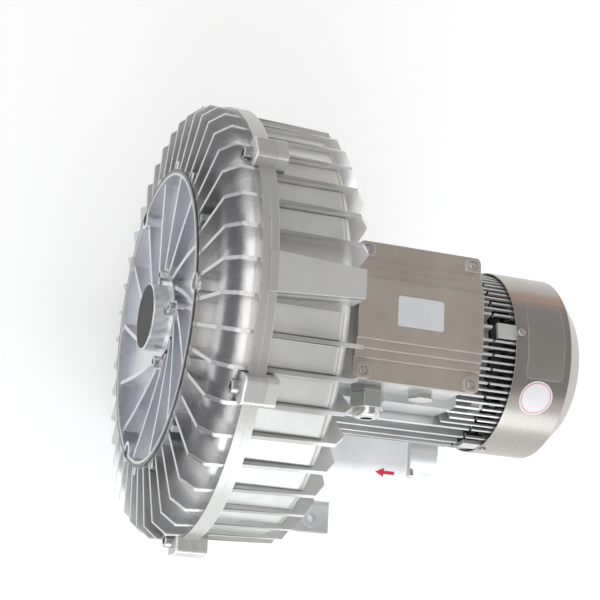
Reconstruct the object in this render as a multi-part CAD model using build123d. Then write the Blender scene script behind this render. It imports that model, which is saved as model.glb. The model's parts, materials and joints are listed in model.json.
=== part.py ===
from build123d import *
from math import atan2, cos, radians, sin, tan
import os

# Side channel blower: a finned two-part housing with an impeller on the shaft of a flanged motor.
# All sizes are in millimetres. The sub-parts are built about the shaft axis, which runs along Y,
# with Y = 0 on the front of the cover's joint flange, the cover towards -Y and the fan towards +Y.
# stand() then lifts the machine onto its feet and centres it on the foot bolt pattern.

# Stance
SHAFT_HEIGHT = 265.0
FOOT_BOLT_X = 346.0
FOOT_BOLT_Y = 184.0
FOOT_MID_Y = 157.0
FOOT_HOLE_R = 6.0

# Joint flange and its screws
FLANGE_R = 250.0
FLANGE_T = 9.0
RIM_SCREW_COUNT = 6
RIM_SCREW_R = 251.0
RIM_PHASE = 28.0
LUG_HALF_WIDTH = 15.0
LUG_FRONT = 16.0
LUG_REAR = 20.0
LUG_CORNER_R = 5.0

# Cooling fins, one lug in every seventh gap
FIN_COUNT = 42
FIN_T = 4.2
FIN_TIP_R = 249.0
FIN_SHOULDER_R = 236.0
FIN_TIP_Y = -19.5
FIN_SHOULDER_Y = -36.0
FIN_ROOT_Y = -43.0
REAR_FIN_T = 4.6
REAR_FIN_R = 245.0
REAR_FIN_DRAFT = 3.0
REAR_FIN_LENGTH = 95.0
REAR_FIN_BEVEL = 13.0
REAR_FIN_BEVEL_DROP = 17.0
REAR_FIN_FOOT_R = 188.0

# Side channel: an annular passage that both halves of the housing share
CHANNEL_IN_R = 172.0
CHANNEL_OUT_R = 217.0
CHANNEL_DEPTH = 27.0
WALL = 8.0
DOME_DEPTH = 27.0
DOME_FOOT_R = 236.0
DOME_TOP_R = 196.0
STRIPPER_HALF_ANGLE = 13.0

# Front dish: ring wall, floor and swirl vanes
RING_OUT_R = 171.0
RING_IN_R = 164.0
RING_FRONT_Y = -45.7
FLOOR_Y = -24.0
FLOOR_T = 7.0
VANE_COUNT = 14
VANE_T = 5.0
VANE_PHASE = 9.8
VANE_RIM_Y = -42.0
VANE_HUB_Y = -34.0
VANE_MID_R = 104.0
VANE_MID_LAG = 11.0
VANE_HUB_LAG = 45.0
PAD_SIZE = 9.0
PAD_R = 176.0
RING_SCREW_COUNT = 3
RING_SCREW_R = 164.0
RING_BOSS_R = 12.0
RING_SINK_DEPTH = 11.0

# Front bearing housing and its cap
HUB_R = 46.0
HUB_FRONT_Y = -27.0
HUB_REAR_Y = -2.0
CAP_R = 38.1
CAP_FRONT_Y = -55.9
CAP_WALL = 6.0
CAP_FLANGE_T = 8.0
CAP_SCREW_COUNT = 4
CAP_SCREW_R = 51.0
CAP_EAR_R = 9.0
CAP_CLEARANCE = 1.5

# Bearings: 6306 at the impeller end, 6208 at the fan end (bore, outer diameter, width)
FRONT_BORE_R = 15.0
FRONT_OUTER_R = 36.0
FRONT_WIDTH = 19.0
REAR_BORE_R = 20.0
REAR_OUTER_R = 40.0
REAR_WIDTH = 18.0
RACE_SHARE = 0.30
BALL_GAP = 0.05

# Impeller
IMPELLER_R = 216.0
IMPELLER_TIP_GAP = 1.0
BLADE_COUNT = 36
BLADE_T = 3.0
BLADE_LENGTH = 26.0
BLADE_IN_R = 176.0
WEB_T = 7.0
IMPELLER_HUB_R = 42.0
IMPELLER_SEAT_R = 18.0
IMPELLER_HUB_FRONT_Y = 0.0
KEY_W = 8.0
KEY_H = 7.0
KEY_L = 50.0
RUNNING_GAP = 1.0

# Rear casing
CASING_WALL_R = 225.0
CASING_REAR_Y = 114.0
CASING_ROUND = 22.0
SEAT_R = 104.0
SEAT_Y = 124.0
SEAT_WALL = 18.0
TOP_BLOCK_W = 44.0
TOP_BLOCK_REAR_W = 31.0
TOP_BLOCK_X = 1.0
TOP_BLOCK_R = 251.0

# Motor
STATOR_R = 80.0
STATOR_BORE_R = 50.0
STATOR_LENGTH = 110.0
STATOR_MID_Y = 232.0
AIR_GAP = 0.5
WINDING_LENGTH = 26.0
WINDING_T = 20.0
WINDING_SET_BACK = 5.0
FRAME_R = 87.0
FRAME_REAR_Y = 336.0
FRAME_FIN_FRONT = 24.0
FRAME_FLANGE_R = 104.0
FRAME_FLANGE_T = 12.0
FRAME_FIN_R = 107.0
FRAME_FIN_T = 3.0
FRAME_FIN_PITCH = 9.0
FRAME_FIN_FIRST = 63.0
FRAME_FIN_GAP = 6.0
FRAME_SCREW_COUNT = 4
FRAME_SCREW_R = 95.0
SHIELD_LENGTH = 16.0
SHIELD_WALL = 7.0
SHIELD_LIP = 2.0
SHIELD_R = 102.0
SHIELD_SCREW_R = 94.0
SHIELD_EAR_R = 9.0
SHAFT_R = 22.0
SHAFT_NUT_R = 23.0
SHAFT_NUT_T = 12.0
SEAL_R = 31.0
SEAL_T = 8.0
END_RING_T = 10.0
END_RING_WALL = 14.0

# Terminal box on its pedestal
PEDESTAL_W = 168.0
PEDESTAL_LENGTH = 156.0
PEDESTAL_TOP_Z = 92.0
BOX_W = 148.0
BOX_LENGTH = 141.0
BOX_MID_Y = 214.0
BOX_WALL = 4.0
BOX_CORNER_R = 8.0
LID_W = 156.0
LID_LENGTH = 149.0
LID_Z = 151.0
LID_FLANGE_T = 6.0
LID_CORNER_R = 8.0
LID_CROWN_W = 108.0
LID_STEP_COUNT = 3
LID_STEP_W = 10.0
LID_STEP_H = 3.0
LID_PAD_W = 17.0
LID_PAD_H = 3.0
LID_POST_R = 7.0
LID_SCREW_DEPTH = 12.0
LID_SCREW_X = 137.0
LID_SCREW_Y = 128.0
GASKET_T = 1.5
GLAND_Y = 172.0
GLAND_Z = 118.0
GLAND_HEX = 34.0
GLAND_THREAD_R = 12.5
PLUG_Y = 236.0
PLUG_HEX = 26.0
PLUG_THREAD_R = 10.0
GLAND_BODY_L = 10.0
GLAND_NUT_L = 27.0
GLAND_BORE_R = 7.0
WIRE_WINDOW = 44.0
BOARD_W = 80.0
BOARD_LENGTH = 36.0
BOARD_T = 16.0
STUD_R = 2.5

# Fan and cowl
COWL_R = 110.0
COWL_FRONT_Y = 359.0
COWL_SHOULDER_Y = 431.0
COWL_REAR_Y = 456.0
COWL_END_R = 84.0
COWL_SHEET = 1.5
COWL_SCREW_COUNT = 4
COWL_SCREW_PHASE = -7.0
COWL_SCREW_Y = 365.0
COWL_POST_W = 18.0
GRILLE_RING_COUNT = 6
GRILLE_SLOT_W = 6.0
GRILLE_RIB_W = 6.0
FAN_R = 93.0
FAN_HUB_R = 24.0
FAN_SEAT_R = 16.0
FAN_BLADE_COUNT = 8
FAN_BLADE_T = 3.0
FAN_DISC_T = 3.0
FAN_FRONT_Y = 385.0
FAN_BLADE_DEPTH = 30.0
CIRCLIP_T = 2.0
CIRCLIP_R = 19.0

# Silencers under the motor and their hose stubs
PORT_ANGLE = 26.6
PORT_R = 18.0
PORT_BOSS_HALF_W = 41.0
PORT_BOSS_HALF_H = 33.0
PORT_BOSS_CORNER_R = 16.0
DUCT_HALF_W = 58.0
DUCT_HALF_H = 48.0
DUCT_CORNER_R = 30.0
DUCT_WALL = 6.0
DUCT_FRONT_Y = 129.0
DUCT_REAR_Y = 330.0
DUCT_BOLT_X = 31.0
DUCT_BOLT_Z = 23.0
STUB_FLANGE_T = 8.0
STUB_R = 29.0
STUB_WALL = 4.0
STUB_LENGTH = 42.0
STUB_EDGE = 14.0

# Feet
FOOT_T = 13.0
FOOT_OUT_X = 192.0
FOOT_IN_X = 60.0
FOOT_KNEE_X = 152.0
FOOT_SLOPE_X = 117.0
FOOT_PLATE_MID_Y = 203.0
FOOT_PLATE_L = 140.0
FOOT_BOSS_R = 9.0
FOOT_BEND_R = 10.0
FOOT_SCREW_X = 24.0
FOOT_SCREW_Y = 80.0
FOOT_SPOT_R = 13.0
FOOT_SPOT_T = 2.0

# Screws: shank radius, head radius and head height
M10 = (5.0, 8.0, 10.0)
M8 = (4.0, 6.5, 8.0)
M5 = (2.5, 4.6, 3.0)
SCREW_GAP = 0.1
FIT_GAP = 0.02

MID_CHANNEL_R = (CHANNEL_IN_R + CHANNEL_OUT_R) / 2
PORT_X = MID_CHANNEL_R * sin(radians(PORT_ANGLE))
PORT_Z = -MID_CHANNEL_R * cos(radians(PORT_ANGLE))
IMPELLER_FRONT_Y = FLANGE_T + RUNNING_GAP
IMPELLER_REAR_Y = IMPELLER_FRONT_Y + 2 * BLADE_LENGTH + WEB_T
REAR_CHANNEL_Y = IMPELLER_REAR_Y + RUNNING_GAP
FRONT_BEARING_Y = HUB_FRONT_Y + BALL_GAP
FRAME_FRONT_Y = SEAT_Y
REAR_BEARING_Y = FRAME_REAR_Y - 2.0
BOX_TOP_Z = LID_Z - GASKET_T
FOOT_BASE_Z = -SHAFT_HEIGHT
DUCT_BOTTOM_Z = PORT_Z - DUCT_HALF_H
LUG_ANGLES = [RIM_PHASE + i * 360.0 / RIM_SCREW_COUNT for i in range(RIM_SCREW_COUNT)]
FIN_ANGLES = [RIM_PHASE + (i + 0.5) * 360.0 / FIN_COUNT for i in range(FIN_COUNT)]


def rod(radius, y0, y1, x=0.0, z=0.0):
    """Cylinder along Y."""
    return Pos(x, (y0 + y1) / 2, z) * Cylinder(radius, abs(y1 - y0), rotation=(90, 0, 0))


def post(radius, z0, z1, x=0.0, y=0.0):
    """Cylinder along Z."""
    return Pos(x, y, (z0 + z1) / 2) * Cylinder(radius, abs(z1 - z0))


def tube(r_in, r_out, y0, y1, x=0.0, z=0.0):
    """Hollow cylinder along Y."""
    return rod(r_out, y0, y1, x, z) - rod(r_in, y0, y1, x, z)


def block(x0, x1, y0, y1, z0, z1):
    """Box between two corners."""
    return Pos((x0 + x1) / 2, (y0 + y1) / 2, (z0 + z1) / 2) * Box(x1 - x0, y1 - y0, z1 - z0)


def turned(*outline):
    """Solid of revolution about the shaft from an outline of (radius, y) points."""
    return revolve(make_face(Polyline(*outline, close=True)), Axis.Y)


def plate(outline, thickness):
    """Radial plate at the top of the machine from an outline of (y, radius) points."""
    face = Plane.YZ * make_face(Polyline(*outline, close=True))
    return extrude(face, thickness / 2, both=True)


def at_angles(shape, angles):
    """Copies of a shape turned round the shaft, clockwise as seen from the front."""
    return [shape.rotate(Axis.Y, angle) for angle in angles]


def even(count, phase=0.0):
    """Evenly spaced angles."""
    return [phase + i * 360.0 / count for i in range(count)]


def screw(size, y_seat, y_tip, x=0.0, z=0.0):
    """Cylinder-head screw along Y, its head on the side of y_seat away from the tip."""
    shank_r, head_r, head_h = size
    head_y = y_seat - head_h if y_tip > y_seat else y_seat + head_h
    return rod(head_r, head_y, y_seat, x, z) + rod(shank_r, y_seat, y_tip, x, z)


def upright_screw(size, z_seat, z_tip, x=0.0, y=0.0):
    """Cylinder-head screw along Z, its head on the side of z_seat away from the tip."""
    shank_r, head_r, head_h = size
    head_z = z_seat - head_h if z_tip > z_seat else z_seat + head_h
    return post(head_r, head_z, z_seat, x, y) + post(shank_r, z_seat, z_tip, x, y)


def rounded_bar(x, z, half_w, half_h, corner_r, y0, y1):
    """Bar of rounded rectangular section along Y."""
    section = RectangleRounded(2 * half_w, 2 * half_h, corner_r)
    return extrude(Plane(origin=(x, y0, z), x_dir=(-1, 0, 0), z_dir=(0, 1, 0)) * section, y1 - y0)


def lug(y0, y1):
    """Screw lug that straddles the flange edge at the top of the machine."""
    height = RIM_SCREW_R + LUG_HALF_WIDTH
    bar = block(-LUG_HALF_WIDTH, LUG_HALF_WIDTH, y0, y1, FLANGE_R - FLANGE_T * 2, height)
    return fillet(bar.edges().filter_by(Axis.Y).group_by(Axis.Z)[-1], LUG_CORNER_R)


def channel(y_open, y_depth):
    """Half of the side channel: an annular groove of half-elliptical section."""
    mid_r = (CHANNEL_IN_R + CHANNEL_OUT_R) / 2
    half_w = (CHANNEL_OUT_R - CHANNEL_IN_R) / 2
    depth = abs(y_depth)
    turn = 180.0 if y_depth > 0 else -180.0
    arc = EllipticalCenterArc((mid_r, y_open), half_w, depth, start_angle=0.0, arc_size=turn)
    mouth = Line((CHANNEL_IN_R, y_open), (CHANNEL_OUT_R, y_open))
    return revolve(make_face([arc, mouth]), Axis.Y)


def stripper():
    """Wedge that blocks the side channel between the two ports."""
    reach = FLANGE_R * 1.2
    half = reach * sin(radians(STRIPPER_HALF_ANGLE)) / cos(radians(STRIPPER_HALF_ANGLE))
    side = Polyline((0, 0), (-half, -reach), (half, -reach), close=True)
    return extrude(Plane.XZ * make_face(side), FLANGE_R, both=True)


def dome_outline():
    """Outer face of the cover: joint flange, dome and ring wall, down to the dish and the hub."""
    dome = EllipticalCenterArc((DOME_TOP_R, 0), DOME_FOOT_R - DOME_TOP_R, DOME_DEPTH,
                               start_angle=0.0, arc_size=-90.0)
    rest = Polyline((DOME_TOP_R, -DOME_DEPTH), (RING_OUT_R, FLOOR_Y), (RING_OUT_R, RING_FRONT_Y),
                    (RING_IN_R, RING_FRONT_Y), (RING_IN_R, FLOOR_Y), (HUB_R, FLOOR_Y), (HUB_R, HUB_FRONT_Y), (0, HUB_FRONT_Y),
                    (0, FLANGE_T), (FLANGE_R, FLANGE_T), (FLANGE_R, 0), (DOME_FOOT_R, 0))
    return revolve(make_face([dome, rest]), Axis.Y)


def front_fin():
    """Cooling fin of the cover: rises from the ring wall, crosses the dome and drops to the flange."""
    return plate([(FIN_ROOT_Y, RING_OUT_R - 1), (FIN_SHOULDER_Y, FIN_SHOULDER_R), (FIN_TIP_Y, FIN_TIP_R),
                  (0, FIN_TIP_R - 1.5), (0, CHANNEL_IN_R)], FIN_T)


def swirl_vanes():
    """Curved vanes that stand on the dish floor between the ring wall and the hub."""
    hub_end = HUB_R + CAP_CLEARANCE
    turn = [0.0, radians(VANE_MID_LAG), radians(VANE_HUB_LAG)]
    radii = [RING_IN_R + 1, VANE_MID_R, hub_end]
    route = [(-radius * sin(lag), radius * cos(lag)) for radius, lag in zip(radii, turn)]
    blank = extrude(Plane.XZ * trace(ThreePointArc(*route), VANE_T), -RING_FRONT_Y)
    envelope = turned((hub_end, FLOOR_Y + 1), (hub_end, VANE_HUB_Y), (RING_IN_R + 1, VANE_RIM_Y),
                      (RING_IN_R + 1, FLOOR_Y + 1))
    return at_angles(blank & envelope, even(VANE_COUNT, VANE_PHASE))


def front_cover():
    """Front half of the housing, cast in one piece with fins, dish, bearing hub and lugs."""
    cover = dome_outline()
    cover += at_angles(front_fin(), FIN_ANGLES)
    cover += swirl_vanes()
    cover += at_angles(lug(-LUG_FRONT + FLANGE_T, FLANGE_T), LUG_ANGLES)
    pad = block(-PAD_SIZE / 2, PAD_SIZE / 2, FIN_ROOT_Y, FLOOR_Y + 1, RING_OUT_R - 1, PAD_R + PAD_SIZE / 2)
    cover += at_angles(pad, even(VANE_COUNT, LUG_ANGLES[0]))
    cover += at_angles(rod(RING_BOSS_R, RING_FRONT_Y, FLOOR_Y, z=RING_SCREW_R), even(RING_SCREW_COUNT))
    cover += at_angles(rod(CAP_EAR_R, HUB_FRONT_Y, FLOOR_Y, z=CAP_SCREW_R), even(CAP_SCREW_COUNT))
    cover -= channel(FLANGE_T, -CHANNEL_DEPTH) - stripper()
    cover -= tube(HUB_R, RING_IN_R, FLOOR_Y + FLOOR_T, FLANGE_T)
    cover -= rod(HUB_R, HUB_REAR_Y, FLANGE_T)
    cover -= rod(FRONT_OUTER_R, HUB_FRONT_Y, FRONT_BEARING_Y + FRONT_WIDTH)
    cover -= rod(FRONT_OUTER_R - CAP_WALL, HUB_FRONT_Y, HUB_REAR_Y)
    cap_room = tube(FRONT_OUTER_R, HUB_R + CAP_CLEARANCE, RING_FRONT_Y, HUB_FRONT_Y)
    ear_room = rod(CAP_EAR_R + CAP_CLEARANCE, RING_FRONT_Y, HUB_FRONT_Y, z=CAP_SCREW_R)
    cover -= [cap_room] + at_angles(ear_room, even(CAP_SCREW_COUNT))
    shank, head, _ = M8
    cap_hole = rod(shank + SCREW_GAP, HUB_FRONT_Y, FLOOR_Y + FLOOR_T, z=CAP_SCREW_R)
    cover -= at_angles(cap_hole, even(CAP_SCREW_COUNT))
    ring_hole = rod(shank + SCREW_GAP, RING_FRONT_Y, FLOOR_Y + FLOOR_T, z=RING_SCREW_R)
    ring_sink = rod(head + 1, RING_FRONT_Y, RING_FRONT_Y + RING_SINK_DEPTH, z=RING_SCREW_R)
    cover -= at_angles(ring_hole, even(RING_SCREW_COUNT)) + at_angles(ring_sink, even(RING_SCREW_COUNT))
    rim_hole = rod(M10[0] + SCREW_GAP, -LUG_FRONT, FLANGE_T, z=RIM_SCREW_R)
    cover -= at_angles(rim_hole, LUG_ANGLES)
    return cover


def rear_fin():
    """Fin of the casing: a long plate with a bevelled rear corner."""
    crest_y = 2 * FLANGE_T + REAR_FIN_LENGTH
    crest_r = REAR_FIN_R - REAR_FIN_DRAFT
    rear_y = crest_y + REAR_FIN_BEVEL
    return plate([(FLANGE_T, REAR_FIN_R), (crest_y, crest_r), (rear_y, crest_r - REAR_FIN_BEVEL_DROP),
                  (rear_y, REAR_FIN_FOOT_R), (FLANGE_T, CHANNEL_OUT_R + 1)], REAR_FIN_T)


def casing_outline():
    """Flange, barrel and rounded rear wall of the casing with the seat of the motor."""
    rim = CASING_WALL_R - CASING_ROUND
    bend = CASING_ROUND * 0.5 ** 0.5
    corner = ThreePointArc((CASING_WALL_R, CASING_REAR_Y - CASING_ROUND),
                           (rim + bend, CASING_REAR_Y - CASING_ROUND + bend), (rim, CASING_REAR_Y))
    rest = Polyline((rim, CASING_REAR_Y), (SEAT_R, CASING_REAR_Y), (SEAT_R, SEAT_Y), (0, SEAT_Y),
                    (0, FLANGE_T), (FLANGE_R, FLANGE_T), (FLANGE_R, 2 * FLANGE_T),
                    (CASING_WALL_R, 2 * FLANGE_T), (CASING_WALL_R, CASING_REAR_Y - CASING_ROUND))
    return revolve(make_face([corner, rest]), Axis.Y)


def top_block():
    """Flat-topped boss on top of the casing, narrower towards the motor."""
    front, rear = TOP_BLOCK_W / 2, TOP_BLOCK_REAR_W / 2
    crest_y = 2 * FLANGE_T + REAR_FIN_LENGTH
    outline = Polyline((-front, FLANGE_T), (-rear, crest_y), (rear, crest_y), (front, FLANGE_T), close=True)
    boss = extrude(make_face(outline), TOP_BLOCK_R)
    return Pos(TOP_BLOCK_X, 0, 0) * (boss & block(-FLANGE_R, FLANGE_R, 0, SEAT_Y, CHANNEL_OUT_R, FLANGE_R * 2))


def port_boss():
    """Rounded seat of a silencer on the casing's rear wall, on the +X side."""
    return rounded_bar(PORT_X, PORT_Z, PORT_BOSS_HALF_W, PORT_BOSS_HALF_H, PORT_BOSS_CORNER_R,
                       CASING_REAR_Y - FLANGE_T, DUCT_FRONT_Y)


def both_sides(shape):
    """A shape and its mirror image about the machine's middle plane."""
    return [shape, mirror(shape, Plane.YZ)]


def duct_bolt_places():
    """Two diagonal through-bolts in each silencer."""
    return [(PORT_X + DUCT_BOLT_X, PORT_Z + DUCT_BOLT_Z), (PORT_X - DUCT_BOLT_X, PORT_Z - DUCT_BOLT_Z)]


def rear_casing():
    """Rear half of the housing with the long fins, the ports and the seat of the motor."""
    casing = casing_outline()
    fins = [fin for angle, fin in zip(FIN_ANGLES, at_angles(rear_fin(), FIN_ANGLES))
            if abs((angle + 180) % 360 - 180) > 360.0 / FIN_COUNT]
    casing += fins
    casing += top_block()
    casing += at_angles(lug(FLANGE_T, FLANGE_T + LUG_REAR), LUG_ANGLES)
    casing += both_sides(port_boss())
    casing -= rod(IMPELLER_R + IMPELLER_TIP_GAP, FLANGE_T, REAR_CHANNEL_Y)
    casing -= channel(REAR_CHANNEL_Y, CHANNEL_DEPTH) - stripper()
    casing -= tube(SEAL_R + WALL, CHANNEL_IN_R - WALL, REAR_CHANNEL_Y - 1, CASING_REAR_Y - FLANGE_T)
    casing -= rod(SHAFT_R + RUNNING_GAP, REAR_CHANNEL_Y - 1, SEAT_Y)
    casing -= rod(SEAL_R, REAR_CHANNEL_Y - 1, REAR_CHANNEL_Y + SEAL_T)
    casing -= tube(SHAFT_R + RUNNING_GAP, SEAT_R - SEAT_WALL, CASING_REAR_Y, SEAT_Y)
    casing -= both_sides(rod(PORT_R, REAR_CHANNEL_Y, DUCT_FRONT_Y, PORT_X, PORT_Z))
    for x, z in duct_bolt_places():
        casing -= both_sides(rod(M8[0] + SCREW_GAP, CASING_REAR_Y, DUCT_FRONT_Y, x, z))
    rim_hole = rod(M10[0] + SCREW_GAP, FLANGE_T, FLANGE_T + LUG_REAR, z=RIM_SCREW_R)
    casing -= at_angles(rim_hole, LUG_ANGLES)
    frame_hole = rod(M8[0] + SCREW_GAP, CASING_REAR_Y - FLANGE_T, SEAT_Y, z=FRAME_SCREW_R)
    casing -= at_angles(frame_hole, even(FRAME_SCREW_COUNT, 45.0))
    return casing


def bearing_cap():
    """Cap over the front bearing, a cup on a flange with four screw ears."""
    flange_y = HUB_FRONT_Y - CAP_FLANGE_T
    cap = rod(CAP_R, CAP_FRONT_Y, HUB_FRONT_Y)
    cap = fillet(cap.edges().group_by(Axis.Y)[0], 1.5)
    cap += rod(HUB_R, flange_y, HUB_FRONT_Y)
    cap += at_angles(rod(CAP_EAR_R, flange_y, HUB_FRONT_Y, z=CAP_SCREW_R), even(CAP_SCREW_COUNT))
    cap -= rod(CAP_R - CAP_WALL, CAP_FRONT_Y + CAP_WALL, HUB_FRONT_Y)
    hole = rod(M8[0] + SCREW_GAP, flange_y, HUB_FRONT_Y, z=CAP_SCREW_R)
    return cap - at_angles(hole, even(CAP_SCREW_COUNT))


def bearing(bore_r, outer_r, y0, width):
    """Inner ring, ball-and-cage ring and outer ring of a deep groove ball bearing."""
    race = (outer_r - bore_r) * RACE_SHARE
    inner = tube(bore_r + FIT_GAP, bore_r + race, y0, y0 + width)
    outer = tube(outer_r - race, outer_r - FIT_GAP, y0, y0 + width)
    cage = tube(bore_r + race + BALL_GAP, outer_r - race - BALL_GAP, y0 + width / 4, y0 + width * 3 / 4)
    return inner, cage, outer


def impeller():
    """Wheel with straight blades on both faces of its web, running between the two half channels."""
    mid_y = (IMPELLER_FRONT_Y + IMPELLER_REAR_Y) / 2
    wheel = rod(IMPELLER_HUB_R, IMPELLER_HUB_FRONT_Y, IMPELLER_REAR_Y)
    wheel += rod(IMPELLER_R, mid_y - WEB_T / 2, mid_y + WEB_T / 2)
    wheel += tube(CHANNEL_IN_R - WALL, BLADE_IN_R, IMPELLER_FRONT_Y, IMPELLER_REAR_Y)
    blade = block(-BLADE_T / 2, BLADE_T / 2, IMPELLER_FRONT_Y, IMPELLER_REAR_Y, BLADE_IN_R - 1, IMPELLER_R - 1)
    wheel += at_angles(blade, even(BLADE_COUNT))
    wheel -= rod(IMPELLER_SEAT_R + FIT_GAP, IMPELLER_HUB_FRONT_Y, IMPELLER_REAR_Y)
    return wheel - impeller_key()


def impeller_key():
    """Parallel key between the shaft and the impeller."""
    y0 = (IMPELLER_HUB_FRONT_Y + IMPELLER_REAR_Y - KEY_L) / 2
    depth = KEY_H * 4 / 7
    return block(-KEY_W / 2, KEY_W / 2, y0, y0 + KEY_L, IMPELLER_SEAT_R - depth, IMPELLER_SEAT_R + KEY_H - depth)


def shaft():
    """Stepped shaft from the front nut to the fan seat."""
    nose_y = FRONT_BEARING_Y - SHAFT_NUT_T - 3
    fan_end = FAN_FRONT_Y + FAN_BLADE_DEPTH + CIRCLIP_T + 4
    rear_seat_end = REAR_BEARING_Y + REAR_WIDTH + 2
    body = rod(FRONT_BORE_R, nose_y, IMPELLER_HUB_FRONT_Y)
    body += rod(IMPELLER_SEAT_R, IMPELLER_HUB_FRONT_Y, IMPELLER_REAR_Y)
    body += rod(SHAFT_R, IMPELLER_REAR_Y, REAR_BEARING_Y)
    body += rod(REAR_BORE_R, REAR_BEARING_Y, rear_seat_end)
    body += rod(FAN_SEAT_R, rear_seat_end, fan_end)
    groove_y = FAN_FRONT_Y + FAN_BLADE_DEPTH
    body -= tube(FAN_SEAT_R - 1, FAN_SEAT_R, groove_y, groove_y + CIRCLIP_T)
    return body - impeller_key()


def shaft_nut():
    """Hexagon nut that clamps the bearing, the spacer and the impeller on the shaft."""
    blank = extrude(Plane.XZ.offset(-FRONT_BEARING_Y) * RegularPolygon(SHAFT_NUT_R, 6), SHAFT_NUT_T)
    return blank - rod(FRONT_BORE_R + FIT_GAP, FRONT_BEARING_Y - SHAFT_NUT_T, FRONT_BEARING_Y)


def motor_fin(front_y):
    """Cooling fin of the motor from front_y to its rear face."""
    rear_y = FRAME_REAR_Y - FRAME_FIN_GAP
    return plate([(front_y, FRAME_R - 1), (front_y, FRAME_FIN_R), (rear_y, FRAME_FIN_R), (rear_y, FRAME_R - 1)],
                 FRAME_FIN_T)


def motor_frame():
    """Finned motor housing with its front flange and the pedestal of the terminal box."""
    frame = rod(FRAME_R, FRAME_FRONT_Y, FRAME_REAR_Y)
    frame += rod(FRAME_FLANGE_R, FRAME_FRONT_Y, FRAME_FRONT_Y + FRAME_FLANGE_T)
    half = PEDESTAL_W / 2
    low_z = (FRAME_R ** 2 - half ** 2) ** 0.5
    y0 = BOX_MID_Y - PEDESTAL_LENGTH / 2
    pedestal = block(-half, half, y0, y0 + PEDESTAL_LENGTH, low_z, PEDESTAL_TOP_Z)
    frame += fillet(pedestal.edges().filter_by(Axis.Z), BOX_CORNER_R)
    long_count = int((360.0 - 2 * FRAME_FIN_FIRST) / FRAME_FIN_PITCH) + 1
    long_angles = [FRAME_FIN_FIRST + i * FRAME_FIN_PITCH for i in range(long_count)]
    short_count = int(2 * FRAME_FIN_FIRST / FRAME_FIN_PITCH) - 1
    short_angles = [(i - (short_count - 1) / 2) * FRAME_FIN_PITCH for i in range(short_count)]
    frame += at_angles(motor_fin(FRAME_FRONT_Y + FRAME_FIN_FRONT), long_angles)
    frame += at_angles(motor_fin(y0 + PEDESTAL_LENGTH + FRAME_FIN_GAP), short_angles)
    frame -= rod(STATOR_R, FRAME_FRONT_Y, FRAME_REAR_Y)
    frame -= wire_window(0, PEDESTAL_TOP_Z)
    hole = rod(M8[0] + SCREW_GAP, FRAME_FRONT_Y, FRAME_FRONT_Y + FRAME_FLANGE_T, z=FRAME_SCREW_R)
    frame -= at_angles(hole, even(FRAME_SCREW_COUNT, 45.0))
    shield_hole = rod(M8[0] + SCREW_GAP, FRAME_REAR_Y - SHIELD_LENGTH, FRAME_REAR_Y, z=SHIELD_SCREW_R)
    ear = rod(SHIELD_EAR_R, FRAME_REAR_Y - SHIELD_LENGTH, FRAME_REAR_Y, z=SHIELD_SCREW_R)
    frame += at_angles(ear - rod(M8[0] + SCREW_GAP, FRAME_REAR_Y - SHIELD_LENGTH, FRAME_REAR_Y,
                                 z=SHIELD_SCREW_R), even(FRAME_SCREW_COUNT, 45.0))
    frame -= at_angles(shield_hole, even(FRAME_SCREW_COUNT, 45.0))
    return frame - rod(STATOR_R, FRAME_FRONT_Y, FRAME_REAR_Y)


def wire_window(z0, z1):
    """Opening for the winding leads between the stator and the terminal box."""
    half = WIRE_WINDOW / 2
    return block(-half, half, BOX_MID_Y - half, BOX_MID_Y + half, z0, z1)


def stator():
    """Laminated core and the two ends of its winding."""
    front_y = STATOR_MID_Y - STATOR_LENGTH / 2
    rear_y = STATOR_MID_Y + STATOR_LENGTH / 2
    core = tube(STATOR_BORE_R, STATOR_R - FIT_GAP, front_y, rear_y)
    r_in = STATOR_BORE_R + WINDING_SET_BACK
    front = tube(r_in, r_in + WINDING_T, front_y - WINDING_LENGTH, front_y)
    rear = tube(r_in, r_in + WINDING_T, rear_y, rear_y + WINDING_LENGTH)
    return core, front, rear


def rotor_cage():
    """Laminated rotor and its two end rings."""
    front_y = STATOR_MID_Y - STATOR_LENGTH / 2
    rear_y = STATOR_MID_Y + STATOR_LENGTH / 2
    rotor_r = STATOR_BORE_R - AIR_GAP
    core = tube(SHAFT_R + FIT_GAP, rotor_r, front_y, rear_y)
    ring = tube(rotor_r - END_RING_WALL, rotor_r, front_y - END_RING_T, front_y)
    return core, [ring, Pos(0, STATOR_LENGTH + END_RING_T, 0) * ring]


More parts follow.
